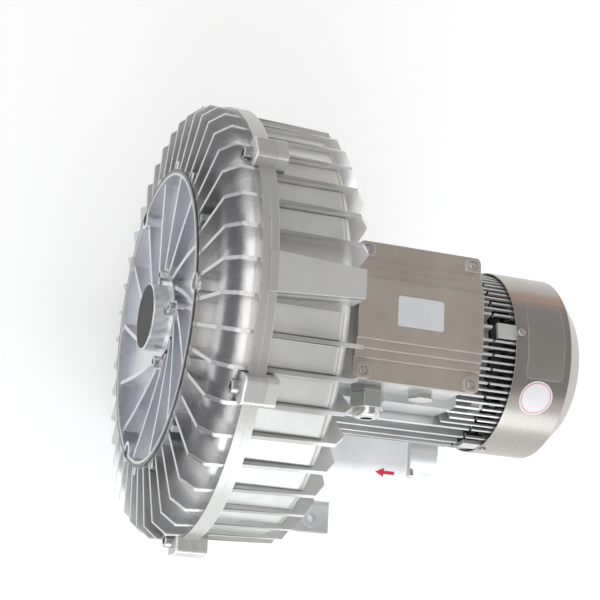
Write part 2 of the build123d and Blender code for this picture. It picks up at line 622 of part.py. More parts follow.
def end_shield():
    """Rear end shield: plate, bearing hub, screw ears and the four posts that carry the cowl."""
    plate_y = FRAME_REAR_Y + SHIELD_WALL
    shield = rod(SHIELD_R, FRAME_REAR_Y, plate_y)
    shield += rod(STATOR_R - FIT_GAP, REAR_BEARING_Y - SHIELD_WALL, FRAME_REAR_Y)
    shield -= rod(STATOR_R - SHIELD_WALL, REAR_BEARING_Y - SHIELD_WALL, FRAME_REAR_Y)
    hub_rear = REAR_BEARING_Y + REAR_WIDTH + SHIELD_LIP
    shield += rod(REAR_OUTER_R + SHIELD_WALL, REAR_BEARING_Y - SHIELD_LIP, hub_rear)
    ear = rod(SHIELD_EAR_R, FRAME_REAR_Y, plate_y, z=SHIELD_SCREW_R)
    shield += at_angles(ear, even(FRAME_SCREW_COUNT, 45.0))
    half = COWL_POST_W / 2
    post_rear = COWL_SCREW_Y + COWL_POST_W / 3
    ring = tube(FAN_R, COWL_R - COWL_SHEET - FIT_GAP, FRAME_REAR_Y, post_rear)
    cowl_post = ring & block(-half, half, FRAME_REAR_Y, post_rear, 0, COWL_R)
    shield += at_angles(cowl_post, even(COWL_SCREW_COUNT, COWL_SCREW_PHASE))
    shield -= rod(REAR_OUTER_R, REAR_BEARING_Y - SHIELD_LIP, REAR_BEARING_Y + REAR_WIDTH)
    shield -= rod(REAR_OUTER_R - SHIELD_WALL, REAR_BEARING_Y, hub_rear)
    hole = rod(M8[0] + SCREW_GAP, FRAME_REAR_Y, plate_y, z=SHIELD_SCREW_R)
    shield -= at_angles(hole, even(FRAME_SCREW_COUNT, 45.0))
    cowl_hole = post(M5[0] + SCREW_GAP, FAN_R, COWL_R, y=COWL_SCREW_Y)
    return shield - at_angles(cowl_hole, even(COWL_SCREW_COUNT, COWL_SCREW_PHASE))


def fan_cowl():
    """Sheet cowl: cylinder, cone and slotted rear disc."""
    inner_r = COWL_R - COWL_SHEET
    inner_end = COWL_END_R - COWL_SHEET / 2
    cowl = turned((COWL_R, COWL_FRONT_Y), (COWL_R, COWL_SHOULDER_Y), (COWL_END_R, COWL_REAR_Y),
                  (0, COWL_REAR_Y), (0, COWL_REAR_Y - COWL_SHEET), (inner_end, COWL_REAR_Y - COWL_SHEET),
                  (inner_r, COWL_SHOULDER_Y - COWL_SHEET / 2), (inner_r, COWL_FRONT_Y))
    half = GRILLE_RIB_W / 2
    y0 = COWL_REAR_Y - 2 * COWL_SHEET
    spokes = [block(-half, half, y0, COWL_REAR_Y, -COWL_R, COWL_R),
              block(-COWL_R, COWL_R, y0, COWL_REAR_Y, -half, half)]
    pitch = GRILLE_SLOT_W + GRILLE_RIB_W
    slots = [tube(pitch * (i + 1), pitch * (i + 1) + GRILLE_SLOT_W, y0, COWL_REAR_Y)
             for i in range(GRILLE_RING_COUNT)]
    cowl -= [piece for slot in slots for piece in (slot - spokes).solids()]
    hole = post(M5[0] + SCREW_GAP, FAN_R, COWL_R + 1, y=COWL_SCREW_Y)
    return cowl - at_angles(hole, even(COWL_SCREW_COUNT, COWL_SCREW_PHASE))


def cooling_fan():
    """Radial fan on the rear end of the shaft."""
    rear_y = FAN_FRONT_Y + FAN_BLADE_DEPTH
    fan = rod(FAN_R - COWL_SHEET, FAN_FRONT_Y, FAN_FRONT_Y + FAN_DISC_T)
    fan += rod(FAN_HUB_R, FAN_FRONT_Y, rear_y)
    blade = block(-FAN_BLADE_T / 2, FAN_BLADE_T / 2, FAN_FRONT_Y, rear_y, FAN_HUB_R - 1, FAN_R - 2 * COWL_SHEET)
    fan += at_angles(blade, even(FAN_BLADE_COUNT))
    return fan - rod(FAN_SEAT_R + FIT_GAP, FAN_FRONT_Y, rear_y)


def lid_screw_places():
    """Corners of the terminal box where its lid is screwed down."""
    return [(x, BOX_MID_Y + y) for x in (-LID_SCREW_X / 2, LID_SCREW_X / 2)
            for y in (-LID_SCREW_Y / 2, LID_SCREW_Y / 2)]


def slab(width, length, corner_r, z0, z1):
    """Slab of rounded rectangular plan above the middle of the motor."""
    plan = Plane.XY.offset(z0) * Pos(0, BOX_MID_Y) * RectangleRounded(width, length, corner_r)
    return extrude(plan, z1 - z0)


def lid_holes(z0, z1):
    """Clearance for the four lid screws."""
    return [post(M5[0] + SCREW_GAP, z0, z1, x, y) for x, y in lid_screw_places()]


def terminal_box():
    """Box of the terminals: four walls and a floor with screw posts and two cable entries."""
    box = slab(BOX_W, BOX_LENGTH, BOX_CORNER_R, PEDESTAL_TOP_Z, BOX_TOP_Z)
    room = slab(BOX_W - 2 * BOX_WALL, BOX_LENGTH - 2 * BOX_WALL, BOX_CORNER_R - BOX_WALL,
                PEDESTAL_TOP_Z + BOX_WALL, BOX_TOP_Z)
    room -= [post(LID_POST_R, PEDESTAL_TOP_Z, BOX_TOP_Z, x, y) for x, y in lid_screw_places()]
    box -= room
    box -= wire_window(PEDESTAL_TOP_Z, PEDESTAL_TOP_Z + BOX_WALL)
    box -= lid_holes(BOX_TOP_Z - LID_SCREW_DEPTH, BOX_TOP_Z)
    wall_x = BOX_W / 2 - BOX_WALL
    box -= cross_rod(GLAND_THREAD_R + SCREW_GAP, wall_x, BOX_W / 2, GLAND_Y)
    return box - cross_rod(PLUG_THREAD_R + SCREW_GAP, wall_x, BOX_W / 2, PLUG_Y)


def cross_rod(radius, x0, x1, y):
    """Cylinder along X at the height of the cable entries."""
    return Pos((x0 + x1) / 2, y, GLAND_Z) * Cylinder(radius, x1 - x0, rotation=(0, 90, 0))


def cross_hex(across_flats, x0, x1, y):
    """Hexagon bar along X at the height of the cable entries."""
    plan = Plane(origin=(x0, y, GLAND_Z), x_dir=(0, 1, 0), z_dir=(1, 0, 0))
    return extrude(plan * RegularPolygon(across_flats / 2, 6, major_radius=False), x1 - x0)


def box_lid():
    """Stepped lid with a screw pad on each corner, hollow underneath."""
    top_z = LID_Z + LID_FLANGE_T
    lid = slab(LID_W, LID_LENGTH, LID_CORNER_R, LID_Z, top_z)
    for i in range(LID_STEP_COUNT):
        width = LID_CROWN_W - i * LID_STEP_W * 2
        half = width / 2
        y0 = BOX_MID_Y - LID_LENGTH / 2
        z0 = top_z + i * LID_STEP_H
        lid += block(-half, half, y0, y0 + LID_LENGTH, z0, z0 + LID_STEP_H)
    for x, y in lid_screw_places():
        pad = Plane.XY.offset(LID_Z) * Pos(x, y) * RectangleRounded(LID_PAD_W, LID_PAD_W, LID_PAD_W / 3)
        lid += extrude(pad, LID_FLANGE_T + LID_PAD_H)
    hollow = LID_CROWN_W - (LID_STEP_COUNT - 1) * LID_STEP_W * 2 - 2 * BOX_WALL
    roof_z = top_z + LID_STEP_COUNT * LID_STEP_H - BOX_WALL
    length = LID_SCREW_Y - LID_PAD_W
    lid -= block(-hollow / 2, hollow / 2, BOX_MID_Y - length / 2, BOX_MID_Y + length / 2, LID_Z, roof_z)
    sinks = [post(M5[1] + SCREW_GAP * 4, top_z, top_z + LID_PAD_H, x, y) for x, y in lid_screw_places()]
    return lid - sinks - lid_holes(LID_Z, top_z)


def gasket():
    """Flat seal between the box and its lid."""
    ring = slab(BOX_W, BOX_LENGTH, BOX_CORNER_R, BOX_TOP_Z, LID_Z)
    room = slab(BOX_W - 2 * BOX_WALL, BOX_LENGTH - 2 * BOX_WALL, BOX_CORNER_R - BOX_WALL, BOX_TOP_Z, LID_Z)
    room -= [post(LID_POST_R, BOX_TOP_Z, LID_Z, x, y) for x, y in lid_screw_places()]
    return ring - room - lid_holes(BOX_TOP_Z, LID_Z)


def terminal_board():
    """Insulating board on the floor of the box and its six studs."""
    floor_z = PEDESTAL_TOP_Z + BOX_WALL
    y0 = BOX_MID_Y + WIRE_WINDOW / 2 + BOX_WALL
    top_z = floor_z + BOARD_T
    board = block(-BOARD_W / 2, BOARD_W / 2, y0, y0 + BOARD_LENGTH, floor_z, top_z)
    places = [((i - 1) * BOARD_W / 3, y0 + BOARD_LENGTH * share) for i in range(3) for share in (0.25, 0.75)]
    studs = [post(STUD_R, top_z - STUD_R, top_z + BOARD_T / 2, x, y) for x, y in places]
    return board - studs, studs


def cable_gland():
    """Cable gland on the +X side of the box: threaded body and domed cap nut, both bored through."""
    wall_x = BOX_W / 2
    neck_r = GLAND_HEX / 2 - 4
    body = cross_hex(GLAND_HEX, wall_x, wall_x + GLAND_BODY_L, GLAND_Y)
    body += cross_rod(GLAND_THREAD_R, wall_x - 2 * BOX_WALL, wall_x, GLAND_Y)
    nut_x = wall_x + GLAND_BODY_L + 1
    hex_end = nut_x + GLAND_NUT_L * 0.6
    body += cross_rod(neck_r, wall_x + GLAND_BODY_L, hex_end, GLAND_Y)
    body -= cross_rod(GLAND_BORE_R, wall_x - 2 * BOX_WALL, hex_end, GLAND_Y)
    nut = cross_hex(GLAND_HEX, nut_x, hex_end, GLAND_Y)
    dome = cross_rod(GLAND_HEX / 2 - 1, hex_end, nut_x + GLAND_NUT_L, GLAND_Y)
    nut += fillet(dome.edges().group_by(Axis.X)[-1], GLAND_NUT_L / 4)
    nut -= cross_rod(neck_r + SCREW_GAP, nut_x, hex_end, GLAND_Y)
    return body, nut - cross_rod(GLAND_BORE_R, nut_x, nut_x + GLAND_NUT_L, GLAND_Y)


def blanking_plug():
    """Hexagon plug in the unused cable entry."""
    wall_x = BOX_W / 2
    plug = cross_hex(PLUG_HEX, wall_x, wall_x + GLAND_BODY_L, PLUG_Y)
    return plug + cross_rod(PLUG_THREAD_R, wall_x - BOX_WALL, wall_x, PLUG_Y)


def silencer():
    """Hollow cast duct under the +X side of the motor, open at both ends."""
    duct = rounded_bar(PORT_X, PORT_Z, DUCT_HALF_W, DUCT_HALF_H, DUCT_CORNER_R, DUCT_FRONT_Y, DUCT_REAR_Y)
    duct = fillet(duct.edges().group_by(Axis.Y)[-1], DUCT_WALL / 2)
    duct -= rounded_bar(PORT_X, PORT_Z, DUCT_HALF_W - DUCT_WALL, DUCT_HALF_H - DUCT_WALL,
                        DUCT_CORNER_R - DUCT_WALL, DUCT_FRONT_Y + DUCT_WALL, DUCT_REAR_Y - DUCT_WALL)
    duct += [post(FOOT_BOSS_R, DUCT_BOTTOM_Z, DUCT_BOTTOM_Z + 2 * DUCT_WALL, x, y)
             for x, y in foot_screw_places()]
    duct -= rod(PORT_R, DUCT_FRONT_Y, DUCT_FRONT_Y + DUCT_WALL, PORT_X, PORT_Z)
    duct -= rod(STUB_R - STUB_WALL, DUCT_REAR_Y - DUCT_WALL, DUCT_REAR_Y, PORT_X, PORT_Z)
    duct -= [rod(M8[0] + SCREW_GAP, DUCT_FRONT_Y, DUCT_REAR_Y, x, z) for x, z in duct_bolt_places()]
    foot_holes = [post(M8[0] + SCREW_GAP, DUCT_BOTTOM_Z, DUCT_BOTTOM_Z + 2 * DUCT_WALL, x, y)
                  for x, y in foot_screw_places()]
    return duct - foot_holes


def hose_stub():
    """Flanged tube behind the +X silencer that takes a hose."""
    flange_rear = DUCT_REAR_Y + STUB_FLANGE_T
    stub = rounded_bar(PORT_X, PORT_Z, DUCT_BOLT_X + STUB_EDGE, DUCT_BOLT_Z + STUB_EDGE, STUB_EDGE,
                       DUCT_REAR_Y, flange_rear)
    stub += rod(STUB_R, flange_rear, flange_rear + STUB_LENGTH, PORT_X, PORT_Z)
    stub -= rod(STUB_R - STUB_WALL, DUCT_REAR_Y, flange_rear + STUB_LENGTH, PORT_X, PORT_Z)
    return stub - [rod(M8[0] + SCREW_GAP, DUCT_REAR_Y, flange_rear, x, z) for x, z in duct_bolt_places()]


def foot_screw_places():
    """Screws that hold a foot under its silencer."""
    return [(PORT_X + dx, FOOT_PLATE_MID_Y + dy) for dx in (-FOOT_SCREW_X / 2, FOOT_SCREW_X / 2)
            for dy in (-FOOT_SCREW_Y / 2, FOOT_SCREW_Y / 2)]


def foot():
    """Bent foot plate on the +X side: top flange, slope and a base that runs forward under the cover."""
    drop = DUCT_BOTTOM_Z - FOOT_BASE_Z - FOOT_T
    slope = atan2(drop, FOOT_KNEE_X - FOOT_SLOPE_X)
    shift = FOOT_T * tan(slope / 2)
    top_z = FOOT_BASE_Z + FOOT_T
    outline = Polyline((FOOT_IN_X, DUCT_BOTTOM_Z), (FOOT_SLOPE_X, DUCT_BOTTOM_Z), (FOOT_KNEE_X, top_z),
                       (FOOT_OUT_X, top_z), (FOOT_OUT_X, FOOT_BASE_Z), (FOOT_KNEE_X - shift, FOOT_BASE_Z),
                       (FOOT_SLOPE_X - shift, DUCT_BOTTOM_Z - FOOT_T), (FOOT_IN_X, DUCT_BOTTOM_Z - FOOT_T),
                       close=True)
    section = make_face(outline)
    bends = section.vertices().sort_by(Axis.X)[2:-2]
    section = fillet(bends, FOOT_BEND_R)
    half = FOOT_PLATE_L / 2
    bracket = extrude(Plane.XZ.offset(-FOOT_PLATE_MID_Y - half) * section, FOOT_PLATE_L)
    toe_y = FOOT_MID_Y - FOOT_BOLT_Y / 2 - FOOT_SPOT_R * 2
    base = block(FOOT_KNEE_X + FOOT_BEND_R, FOOT_OUT_X, toe_y, FOOT_PLATE_MID_Y, FOOT_BASE_Z, top_z)
    bracket += base
    spots = [post(FOOT_SPOT_R, top_z, top_z + FOOT_SPOT_T, FOOT_BOLT_X / 2, y) for y in foot_bolt_rows()]
    bracket += spots
    bracket -= [post(FOOT_HOLE_R, FOOT_BASE_Z, top_z + FOOT_SPOT_T, FOOT_BOLT_X / 2, y)
                for y in foot_bolt_rows()]
    holes = [post(M8[0] + SCREW_GAP, DUCT_BOTTOM_Z - FOOT_T, DUCT_BOTTOM_Z, x, y)
             for x, y in foot_screw_places()]
    return bracket - holes


def foot_bolt_rows():
    """Distances along the machine of the two rows of foot bolts."""
    return [FOOT_MID_Y - FOOT_BOLT_Y / 2, FOOT_MID_Y + FOOT_BOLT_Y / 2]


def screws():
    """All screws, grouped by the joint that they close."""
    cap_seat = HUB_FRONT_Y - CAP_FLANGE_T
    ring_seat = RING_FRONT_Y + RING_SINK_DEPTH
    rim_seat = FLANGE_T - LUG_FRONT
    frame_seat = CASING_REAR_Y - FLANGE_T
    frame_tip = FRAME_FRONT_Y + FRAME_FLANGE_T
    shield_seat = FRAME_REAR_Y + SHIELD_WALL
    lid_seat = LID_Z + LID_FLANGE_T
    stub_seat = DUCT_REAR_Y + STUB_FLANGE_T
    foot_seat = DUCT_BOTTOM_Z - FOOT_T
    tie_bolts = [screw(M8, stub_seat, CASING_REAR_Y, x, z) for x, z in duct_bolt_places()]
    foot_screws = [upright_screw(M8, foot_seat, DUCT_BOTTOM_Z + DUCT_WALL, x, y)
                   for x, y in foot_screw_places()]
    cowl_screw = upright_screw(M5, COWL_R, FAN_R + COWL_SHEET, y=COWL_SCREW_Y)
    return {
        "bearing_cap_screws": at_angles(screw(M8, cap_seat, FLOOR_Y, z=CAP_SCREW_R), even(CAP_SCREW_COUNT)),
        "ring_screws": at_angles(screw(M8, ring_seat, FLOOR_Y + FLOOR_T, z=RING_SCREW_R),
                                 even(RING_SCREW_COUNT)),
        "rim_screws": at_angles(screw(M10, rim_seat, FLANGE_T + LUG_REAR, z=RIM_SCREW_R), LUG_ANGLES),
        "motor_flange_screws": at_angles(screw(M8, frame_seat, frame_tip, z=FRAME_SCREW_R),
                                         even(FRAME_SCREW_COUNT, 45.0)),
        "end_shield_screws": at_angles(screw(M8, shield_seat, FRAME_REAR_Y - SHIELD_LENGTH, z=SHIELD_SCREW_R),
                                       even(FRAME_SCREW_COUNT, 45.0)),
        "lid_screws": [upright_screw(M5, lid_seat, BOX_TOP_Z - LID_SCREW_DEPTH, x, y)
                       for x, y in lid_screw_places()],
        "cowl_screws": at_angles(cowl_screw, even(COWL_SCREW_COUNT, COWL_SCREW_PHASE)),
        "inlet_tie_bolts": tie_bolts,
        "outlet_tie_bolts": [mirror(bolt, Plane.YZ) for bolt in tie_bolts],
        "foot_screws_right": foot_screws,
        "foot_screws_left": [mirror(bolt, Plane.YZ) for bolt in foot_screws],
    }


def pieces():
    """Every node of the assembly about the shaft axis."""
    front_inner, front_cage, front_outer = bearing(FRONT_BORE_R, FRONT_OUTER_R, FRONT_BEARING_Y, FRONT_WIDTH)
    rear_inner, rear_cage, rear_outer = bearing(REAR_BORE_R, REAR_OUTER_R, REAR_BEARING_Y, REAR_WIDTH)
    core, winding_front, winding_rear = stator()
    rotor_core, end_rings = rotor_cage()
    board, studs = terminal_board()
    gland_body, gland_nut = cable_gland()
    inlet = silencer()
    stub = hose_stub()
    right_foot = foot()
    groove_y = FAN_FRONT_Y + FAN_BLADE_DEPTH
    nodes = {
        "front_cover": front_cover(),
        "rear_casing": rear_casing(),
        "bearing_cap": bearing_cap(),
        "front_bearing_outer": front_outer,
        "front_bearing_cage": front_cage,
        "front_bearing_inner": front_inner,
        "rear_bearing_outer": rear_outer,
        "rear_bearing_cage": rear_cage,
        "rear_bearing_inner": rear_inner,
        "shaft_seal": tube(SHAFT_R + BALL_GAP, SEAL_R - FIT_GAP, REAR_CHANNEL_Y, REAR_CHANNEL_Y + SEAL_T),
        "motor_frame": motor_frame(),
        "stator_core": core,
        "winding_front": winding_front,
        "winding_rear": winding_rear,
        "end_shield": end_shield(),
        "terminal_box": terminal_box(),
        "lid_gasket": gasket(),
        "terminal_lid": box_lid(),
        "terminal_board": board,
        "terminal_studs": studs,
        "cable_gland_body": gland_body,
        "cable_gland_nut": gland_nut,
        "blanking_plug": blanking_plug(),
        "fan_cowl": fan_cowl(),
        "inlet_silencer": inlet,
        "outlet_silencer": mirror(inlet, Plane.YZ),
        "inlet_hose_stub": stub,
        "outlet_hose_stub": mirror(stub, Plane.YZ),
        "foot_right": right_foot,
        "foot_left": mirror(right_foot, Plane.YZ),
        "shaft": shaft(),
        "impeller": impeller(),
        "impeller_key": impeller_key(),
        "impeller_spacer": tube(FRONT_BORE_R + FIT_GAP, SHAFT_R, FRONT_BEARING_Y + FRONT_WIDTH,
                                IMPELLER_HUB_FRONT_Y),
        "shaft_nut": shaft_nut(),
        "rotor_core": rotor_core,
        "rotor_end_rings": end_rings,
        "cooling_fan": cooling_fan(),
        "fan_circlip": tube(FAN_SEAT_R - 1, CIRCLIP_R, groove_y, groove_y + CIRCLIP_T),
    }
    nodes.update(screws())
    return nodes


def stand(shape):
    """Moves a piece from the shaft axis to the frame of the feet."""
    solids = shape if isinstance(shape, list) else shape.solids()
    compound = Compound(children=[Pos(0, -FOOT_MID_Y, SHAFT_HEIGHT) * solid for solid in solids])
    return compound


os.makedirs("parts", exist_ok=True)
for name, shape in pieces().items():
    export_step(stand(shape), f"parts/{name}.step")
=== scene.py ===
import json
from math import atan2, cos, pi, radians, sin

import bmesh
import bpy
from mathutils import Matrix, Vector


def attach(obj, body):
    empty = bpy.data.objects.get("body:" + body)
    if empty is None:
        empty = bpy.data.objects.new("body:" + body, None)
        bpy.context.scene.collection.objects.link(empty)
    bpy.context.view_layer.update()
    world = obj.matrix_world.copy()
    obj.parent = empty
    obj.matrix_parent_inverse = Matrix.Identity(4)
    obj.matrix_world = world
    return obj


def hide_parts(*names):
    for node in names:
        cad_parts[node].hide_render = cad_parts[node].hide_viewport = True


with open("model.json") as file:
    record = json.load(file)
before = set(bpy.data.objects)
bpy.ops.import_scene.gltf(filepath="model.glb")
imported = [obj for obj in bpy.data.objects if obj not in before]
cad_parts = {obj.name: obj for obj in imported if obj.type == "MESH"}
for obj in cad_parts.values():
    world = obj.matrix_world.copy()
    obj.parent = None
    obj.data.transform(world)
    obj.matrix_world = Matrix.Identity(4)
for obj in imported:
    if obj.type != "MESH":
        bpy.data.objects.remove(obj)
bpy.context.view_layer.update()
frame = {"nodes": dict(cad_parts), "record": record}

# Side channel blower: camera, light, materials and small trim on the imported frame.
# Lengths are in metres. Angles are in degrees; about the shaft they count from the top towards +X.
NODES = frame["nodes"]

# Camera: its place and its three axes
CAMERA_PLACE = (0.4464, -0.6094, 1.9321)
CAMERA_RIGHT = (-0.05069, 0.93819, 0.34239)
CAMERA_UP = (-0.96193, -0.13805, 0.23586)
CAMERA_BACK = (0.26855, -0.31740, 0.90947)
SENSOR_MM, LENS_MM = 36.0, 93.0

# Light
LAMP_TARGET = (0.0, 0.0, 0.25)
WORLD_LIGHT = 0.55
FLOOR_SIZE, FLOOR_GLOW = 9.0, 0.46
CEILING_SIZE, CEILING_Z = 7.0, 3.4
CEILING_LIGHT, CEILING_FRONT, CEILING_REAR = 0.85, 1.70, 0.38
CEILING_FADE_Y = (-0.45, 0.15)

# Places of the CAD pieces that the trim is fitted to
SHAFT_Z = 0.265
COWL_R = 0.110
COWL_SCREW_R, COWL_SCREW_Y = 0.113, 0.208
POST_PHASE, POST_HALF_ANGLE, POST_STEP = -7.0, 6.5, 90.0
RIM_PHASE = 28.0
CASING_FIN_COUNT = 42
TOP_BLOCK_GAPS = (38, 39)
FRAME_FIN_PITCH = 9.0
DUCT_MID_X, DUCT_MID_Z = 0.08709, 0.09109
DUCT_HALF_W, DUCT_HALF_H, DUCT_CORNER_R = 0.058, 0.048, 0.030
LID_MID_Y, LID_PAD_Z = 0.057, 0.425
LID_SCREW_X, LID_SCREW_Y = 0.0685, 0.064

# Panels between the casing's fins
PAD_WIDTH, PAD_R, PAD_FOOT_R = 0.0302, 0.2378, 0.2150
PAD_Y0, PAD_Y1 = -0.1460, -0.0540
PAD_REAR_ROUND, PAD_SIDE_ROUND = 0.009, 0.003

# Fin strips on the motor
STRIP_T, STRIP_OUT_R, STRIP_REAR_Y = 0.0024, 0.1068, 0.2060
TAIL_IN_R, TAIL_FRONT_Y = 0.1010, 0.1765
SHORT_FIN_IN_R, SHORT_FIN_FRONT_Y = 0.0865, 0.1330
SHORT_FIN_FIRST, SHORT_FIN_COUNT = -58.5, 14

# Plates, sticker and arrow
RATING_ANGLE, RATING_MID_ANGLE = 52.0, -6.0
RATING_Y0, RATING_Y1, RATING_T, RATING_CORNER = 0.2175, 0.2650, 0.0004, 0.004
STICKER_Y, STICKER_ANGLE = 0.2365, 32.0
STICKER_R, STICKER_T = 0.0210, 0.0002
RING_R, RING_BAND, RING_T = 0.0190, 0.0010, 0.0001
PLATE_X0, PLATE_X1, PLATE_Y0, PLATE_Y1 = -0.0185, 0.0155, 0.0280, 0.0830
PLATE_Z, PLATE_T, PLATE_CORNER = 0.4311, 0.0006, 0.003
ARROW_MID_X, ARROW_Y0, ARROW_Y1, ARROW_T = 0.1250, 0.1290, 0.1550, 0.0002
ARROW_HEAD_SHARE, ARROW_HEAD_HALF_W, ARROW_STEM_HALF_W = 0.45, 0.0055, 0.0020
LIFT = 0.0001

# Screws: head radius and height, shank radius, and the reach of the socket or cross
M10_SOCKET = {"radius": 0.008, "height": 0.010, "shank_radius": 0.005, "socket": 0.0048}
M8_SOCKET = {"radius": 0.0065, "height": 0.008, "shank_radius": 0.004, "socket": 0.0038}
M5_PAN = {"radius": 0.0046, "height": 0.003, "shank_radius": 0.0025, "socket": 0.0030, "cross": True}
FRONT = (0.0, -1.0, 0.0)
UP = (0.0, 0.0, 1.0)

# Colours
WHITE = (1.0, 1.0, 1.0, 1.0)
# Colour of bright edges: partly rubbed metal, partly a painted highlight
BRIGHT = (0.92, 0.92, 0.93, 1.0)
DUST_COLOUR = (0.45, 0.43, 0.40, 1.0)
FLANGE_GREY = (0.54, 0.535, 0.52, 1.0)
# Darker grey on the casing's fin tips: painted shade, set against the lighter panels between them
FIN_TIP_SHADE = (0.40, 0.40, 0.39, 1.0)
# Near black on the end shield: painted shade of the deep gap under the cowl
SHIELD_SHADE = (0.02, 0.02, 0.02, 1.0)
CARD_DARK = (0.20, 0.20, 0.21, 1.0)

# Zones about the shaft with a colour of their own, or with painted shade on the fin tips and end shield: least
# radius, most radius, least y, most y, colour
FLANGE_ZONE = (0.2475, 0.30, -0.158, -0.140, FLANGE_GREY)
FIN_TIP_SHADE_ZONE = (0.2422, 0.2474, -0.139, -0.03, FIN_TIP_SHADE)
SHIELD_SHADE_ZONE = (0.02, 0.1032, 0.1770, 0.1985, SHIELD_SHADE)


# Camera and light

def place_camera():
    """Camera above the front of the machine, a little to its right, looking steeply down."""
    camera = bpy.data.objects.new("camera", bpy.data.cameras.new("camera"))
    bpy.context.scene.collection.objects.link(camera)
    camera.data.sensor_width = SENSOR_MM
    camera.data.lens = LENS_MM
    camera.data.clip_end = 50.0
    axes = Matrix((CAMERA_RIGHT, CAMERA_UP, CAMERA_BACK)).transposed().to_4x4()
    camera.matrix_world = Matrix.Translation(CAMERA_PLACE) @ axes
    bpy.context.scene.camera = camera


def area_lamp(name, place, size, power, colour=(1.0, 1.0, 1.0)):
    """Soft lamp aimed at the machine. Reflections don't show it, they show the cards."""
    lamp = bpy.data.lights.new(name, "AREA")
    lamp.shape = "RECTANGLE"
    lamp.size, lamp.size_y = size
    lamp.energy = power
    lamp.color = colour
    holder = bpy.data.objects.new(name, lamp)
    bpy.context.scene.collection.objects.link(holder)
    holder.visible_glossy = False
    holder.location = place
    holder.rotation_euler = (Vector(LAMP_TARGET) - Vector(place)).to_track_quat("-Z", "Y").to_euler()


def light_scene():
    """Cool side light low on the right and a weak light from behind."""
    area_lamp("side_light", (2.3, 0.25, 0.95), (2.6, 1.1), 62.0, (0.95, 0.98, 1.0))
    area_lamp("back_fill", (-1.4, 2.2, 1.4), (1.6, 1.2), 10.0)


def build_world():
    """Pale world: white where it is seen directly or in a reflection, a little darker as light."""
    world = bpy.data.worlds.new("studio")
    bpy.context.scene.world = world
    world.use_nodes = True
    tree = world.node_tree
    tree.nodes.clear()
    path = tree.nodes.new("ShaderNodeLightPath")
    seen = maths(tree, "MAXIMUM", path.outputs["Is Camera Ray"], path.outputs["Is Glossy Ray"])
    seen = maths(tree, "MAXIMUM", seen, path.outputs["Is Transmission Ray"])
    light = node(tree, "ShaderNodeBackground", Color=(0.93, 0.95, 1.0, 1.0), Strength=WORLD_LIGHT)
    white = node(tree, "ShaderNodeBackground", Color=WHITE, Strength=1.0)
    mix = node(tree, "ShaderNodeMixShader", Fac=seen)
    tree.links.new(light.outputs[0], mix.inputs[1])
    tree.links.new(white.outputs[0], mix.inputs[2])
    output = tree.nodes.new("ShaderNodeOutputWorld")
    tree.links.new(mix.outputs[0], output.inputs[0])


def stage_plane(name, size, height, material):
    """Level square plane of the stage."""
    plane = bmesh.new()
    bmesh.ops.create_grid(plane, x_segments=1, y_segments=1, size=size / 2)
    bmesh.ops.translate(plane, verts=plane.verts, vec=(0.0, 0.0, height))
    piece = finish_piece(plane, name, material)


def stage_card(name, corners, material):
    """Flat card of the stage from its four corners."""
    card = bmesh.new()
    card.faces.new([card.verts.new(corner) for corner in corners])
    finish_piece(card, name, material)


# Node helpers

def feed(tree, socket, value):
    """Links a socket to another one, or sets its value."""
    if isinstance(value, bpy.types.NodeSocket):
        tree.links.new(value, socket)
    else:
        socket.default_value = value


def feed_by_name(tree, made, sockets):
    """Feeds the named sockets of a node, with _ for each space in a name."""
    for name, value in sockets.items():
        feed(tree, made.inputs[name.replace("_", " ")], value)
    return made


def node(tree, kind, **sockets):
    """Adds a node and sets its sockets by name, from numbers or from other sockets."""
    return feed_by_name(tree, tree.nodes.new(kind), sockets)


def use_group(tree, group, **sockets):
    """Places a node group and sets its sockets by name."""
    made = tree.nodes.new("ShaderNodeGroup")
    made.node_tree = group
    return feed_by_name(tree, made, sockets)


def maths(tree, operation, first, second=0.0, third=0.0, clamp=False):
    """Math node; returns its value."""
    made = tree.nodes.new("ShaderNodeMath")
    made.operation = operation
    made.use_clamp = clamp
    for socket, value in zip(made.inputs, (first, second, third)):
        feed(tree, socket, value)
    return made.outputs[0]


def ramp(tree, value, low, high):
    """0 below low, 1 above high and smooth in between."""
    made = tree.nodes.new("ShaderNodeMapRange")
    made.interpolation_type = "SMOOTHSTEP"
    tree.links.new(value, made.inputs["Value"])
    made.inputs["From Min"].default_value = low
    made.inputs["From Max"].default_value = high
    return made.outputs["Result"]


def fall(tree, value, low, high):
    """1 below low, 0 above high and smooth in between."""
    return maths(tree, "SUBTRACT", 1.0, ramp(tree, value, low, high))


def blend(tree, factor, first, second):
    """Mixes two colours."""
    made = tree.nodes.new("ShaderNodeMix")
    made.data_type = "RGBA"
    for index, value in ((0, factor), (6, first), (7, second)):
        feed(tree, made.inputs[index], value)
    return made.outputs[2]


def noise(tree, vector, scale, detail=3.0, rough=0.55):
    """Noise pattern between 0 and 1."""
    made = node(tree, "ShaderNodeTexNoise", Vector=vector, Scale=scale, Detail=detail, Roughness=rough)
    return made.outputs[0]


def object_place(tree):
    """Object coordinates of the piece."""
    return tree.nodes.new("ShaderNodeTexCoord").outputs["Object"]


def shaft_place(tree, place):
    """Distance from the shaft axis and distance along the machine."""
    axes = node(tree, "ShaderNodeSeparateXYZ", Vector=place)
    height = maths(tree, "SUBTRACT", axes.outputs["Z"], SHAFT_Z)
    square = maths(tree, "ADD", maths(tree, "MULTIPLY", axes.outputs["X"], axes.outputs["X"]),
                   maths(tree, "MULTIPLY", height, height))
    return maths(tree, "SQRT", square), axes.outputs["Y"]


def shaft_zone(tree, place, in_r, out_r, y0, y1, soft=0.0008):
    """1 inside a ring-shaped zone about the shaft, 0 outside it."""
    radius, along = shaft_place(tree, place)
    inside = ramp(tree, radius, in_r, in_r + soft)
    inside = maths(tree, "MULTIPLY", inside, fall(tree, radius, out_r, out_r + soft))
    inside = maths(tree, "MULTIPLY", inside, fall(tree, along, y1, y1 + soft))
    return maths(tree, "MULTIPLY", inside, ramp(tree, along, y0, y0 + soft))


